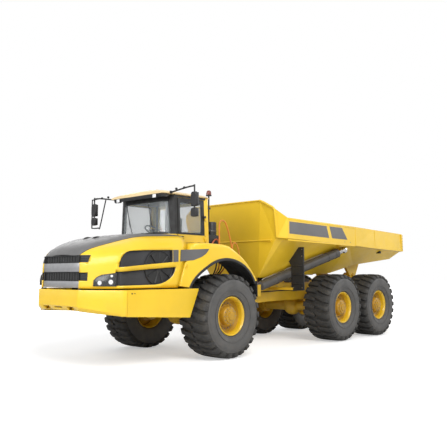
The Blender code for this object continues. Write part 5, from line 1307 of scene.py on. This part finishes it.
def frames():
    dressed("front_frame", FRAME, 0.006)
    dressed("rear_frame", CHASSIS, 0.006)
    dressed("engine_block", FRAME, 0.02)
    dressed("steering_hitch", STEEL, 0.006)
    for name in ("front_axle", "middle_axle", "rear_axle"):
        dressed(name, CHASSIS, 0.004)
    for side, sign in SIDES:
        dressed(f"bogie_beam_{side}", CHASSIS, 0.010)
        dressed(f"mudguard_{side}", BLACK, 0.004)
        dressed(f"hoist_{side}_barrel", STEEL, 0.003)
        dressed(f"hoist_{side}_rod", CHROME, 0.002)
        dressed(f"steer_{side}_barrel", STEEL, 0.002)
        dressed(f"steer_{side}_rod", CHROME, 0.001)
    # engine: ribbed covers and pipes that show through the vents
    motor = Shape()
    for sign in (1, -1):
        for k in range(7):
            motor.box(at(1.30 + 0.16 * k, sign * 0.36, 1.30), at(1.36 + 0.16 * k, sign * 0.385, 1.90), 0,
                      0.008)
        motor.tube(eased([at(1.45, sign * 0.40, 1.86), at(1.60, sign * 0.55, 1.95),
                          at(1.95, sign * 0.62, 1.90), at(2.40, sign * 0.50, 1.80)], 4),
                   0.055, 1, 12)
        motor.bolts([at(1.40 + 0.18 * k, sign * 0.386, 1.22) for k in range(6)], (0, sign, 0), 0.014, 0.012,
                    2)
    motor.make("engine_covers", "front_unit", [FRAME, STEEL, BOLT], slot="black_paint")
    # hoses over the steering hinge, each held at the frames' ends
    for side, sign in SIDES:
        hose = Shape()
        for k, z in enumerate((1.50, 1.56)):
            y = sign * (0.036 + 0.036 * k)
            hose.tube(eased([at(-0.70, y, 1.44), at(-0.86, y * 1.02, z), at(-1.02, y * 0.95, z + 0.01),
                             at(-1.16, y * 0.82, z)], 4), 0.016, k, 8)
        hose.make(f"front_hoses_{side}", "front_unit", [HOSE, BLACK], slot="black_paint")
        line = Shape()
        x = AXLE - 2.05
        line.tube([(x, sign * 0.535, 1.30), (AXLE - 3.2, sign * 0.535, 1.33),
                   (AXLE - 3.9, sign * 0.535, 1.33)], 0.014, 1, 8)
        line.tube(eased([at(-1.86, sign * 0.60, 1.50), at(-2.00, sign * 0.66, 1.56),
                         at(-2.25, sign * 0.62, 1.50), at(-2.42, sign * 0.54, 1.40)], 4),
                  0.018, 0, 8)
        line.bolts([at(-2.1 - 0.30 * k, sign * 0.520, 1.44) for k in range(10)], (0, sign, 0), 0.014, 0.012,
                   2)
        line.bolts([at(-5.37 + 0.16 * math.cos(a), sign * 0.660, 1.10 + 0.10 * math.sin(a))
                    for a in full_turn(8)],
                   (0, sign, 0), 0.016, 0.012, 2)
        line.make(f"rear_lines_{side}", "rear_unit", [HOSE, BLACK, BOLT], slot="dark_steel")
        guard = Shape()
        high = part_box(f"mudguard_{side}")[1]
        for k in range(3):
            z = 1.50 + 0.22 * k
            guard.box((high.x - 0.004, sign * 1.24, z), (high.x + 0.014, sign * 1.54, z + 0.03), 0, 0.005)
        guard.bolts([Vector((high.x, sign * y, z)) for y,
                     z in ((1.52, 2.36), (1.52, 2.2), (1.52, 1.42), (1.26, 1.42))], (1, 0, 0), 0.014, 0.012,
                    1)
        guard.make(f"guard_ribs_{side}", "rear_unit", [BLACK, BOLT], slot="black_paint")


def cylinder_trim():
    """Collars and welds on the hoist barrels."""
    for side, sign in SIDES:
        foot, eye = at(-1.80, sign * 0.80, 1.42), at(-4.70, sign * 1.52, 2.41)
        run = (eye - foot).normalized()
        length = (eye - foot).length
        shape = Shape()
        for share in (0.20, 0.78):
            shape.turn([(0.117, 0), (0.124, 0.004), (0.124, 0.05), (0.117, 0.054)],
                       foot + run * length * share, run, 28, 0)
        over = Vector((0, 0, 1)) - run * run.z
        over.normalize()
        base = foot + run * 0.24 + over * 0.118
        shape.tube([base, base + over * 0.020 + run * 0.04, foot + run * length * 0.74 + over * 0.138,
                    foot + run * length * 0.76 + over * 0.116], 0.010, 1, 8)
        shape.make(f"hoist_collars_{side}", f"hoist_barrel_{side}", [STEEL, CHROME], slot="dark_steel")


body()
frames()
cylinder_trim()


# ---------------------------------------------------------------- floor, light and camera
FLOOR_REACH = 120
FLOOR_LIFT = 0.42                # the floor's own light near the machine, which fades to white further out
SKY_LIGHT = 0.34


def floor_white(name, colour, lift):
    """A pale surface that looks white to the camera and keeps the shadow that falls on it."""
    made, tree, shader = principled(name)
    away = new_node(tree, "VectorMath", {0: new_node(tree, "TexCoord").outputs["Object"]}, operation="LENGTH")
    fade = spread(tree, away.outputs["Value"], lift, 1.0, 5.0, 13.0, interpolation_type="SMOOTHSTEP")
    seen = math_node(tree, "MULTIPLY", new_node(tree, "LightPath").outputs["Is Camera Ray"], fade)
    for key, value in (("Base Color", (*colour, 1)), ("Roughness", 0.9), ("Emission Color", (1, 1, 1, 1)),
                       ("Emission Strength", seen)):
        feed(tree, shader[key], value)
    return made


floor = Shape().faces([[Vector((x, y, 0.0)) for y in (-FLOOR_REACH, FLOOR_REACH)]
                       for x in (-FLOOR_REACH, FLOOR_REACH)])
floor = floor.make("studio_floor", None, [floor_white("studio_white", (0.80, 0.80, 0.80), FLOOR_LIFT)])

world = bpy.data.worlds.new("studio")
SCENE.world = world
world.use_nodes = True
sky = world.node_tree
soft = sky.nodes["Background"]
feed(sky, soft.inputs["Color"], (0.92, 0.95, 1.0, 1))
feed(sky, soft.inputs["Strength"], SKY_LIGHT)
white = new_node(sky, "Background", {"Color": (1, 1, 1, 1), "Strength": 1.0})
rays = new_node(sky, "LightPath").outputs
direct = math_node(sky, "MAXIMUM", rays["Is Camera Ray"], rays["Is Transmission Ray"])
shown = math_node(sky, "MAXIMUM", direct, rays["Is Glossy Ray"])
blend = new_node(sky, "MixShader", {"Fac": shown, 1: soft.outputs[0], 2: white.outputs[0]})
feed(sky, sky.nodes["World Output"].inputs["Surface"], blend.outputs[0])


def lamp(name, place, aim, size, power, colour=(1, 1, 1)):
    light = bpy.data.lights.new(name, "AREA")
    light.shape = "RECTANGLE"
    light.size, light.size_y = size
    light.energy = power
    light.color = colour
    obj = bpy.data.objects.new(name, light)
    SCENE.collection.objects.link(obj)
    obj.location = place
    obj.rotation_euler = (Vector(aim) - Vector(place)).to_track_quat("-Z", "Y").to_euler()


lamp("key", (9.0, 14.0, 13.0), (0, 0, 1.2), (9, 9), 2700, (1.0, 0.985, 0.96))
lamp("front_fill", (17.0, 1.0, 7.0), (1, 0, 1.4), (8, 6), 1000)
lamp("rear_fill", (-14.0, 9.0, 8.0), (-2, 0, 1.5), (8, 6), 700)
lamp("far_side", (-2.0, -15.0, 9.0), (0, 0, 1.5), (10, 6), 600)

VIEW_PLACE = (11.395, 9.7025, 1.740)
VIEW_AZIMUTH, VIEW_TILT = math.radians(42.97), -0.0896
view = bpy.data.cameras.new("view")
view.lens = 45.917
view.sensor_width = 36
view.clip_end = 500
eye = bpy.data.objects.new("view", view)
SCENE.collection.objects.link(eye)
forward = Vector((-math.cos(VIEW_AZIMUTH) * math.cos(VIEW_TILT),
                  -math.sin(VIEW_AZIMUTH) * math.cos(VIEW_TILT),
                  -math.sin(VIEW_TILT)))
eye.location = VIEW_PLACE
eye.rotation_euler = forward.to_track_quat("-Z", "Y").to_euler()
SCENE.camera = eye
SCENE.view_settings.view_transform = "Standard"
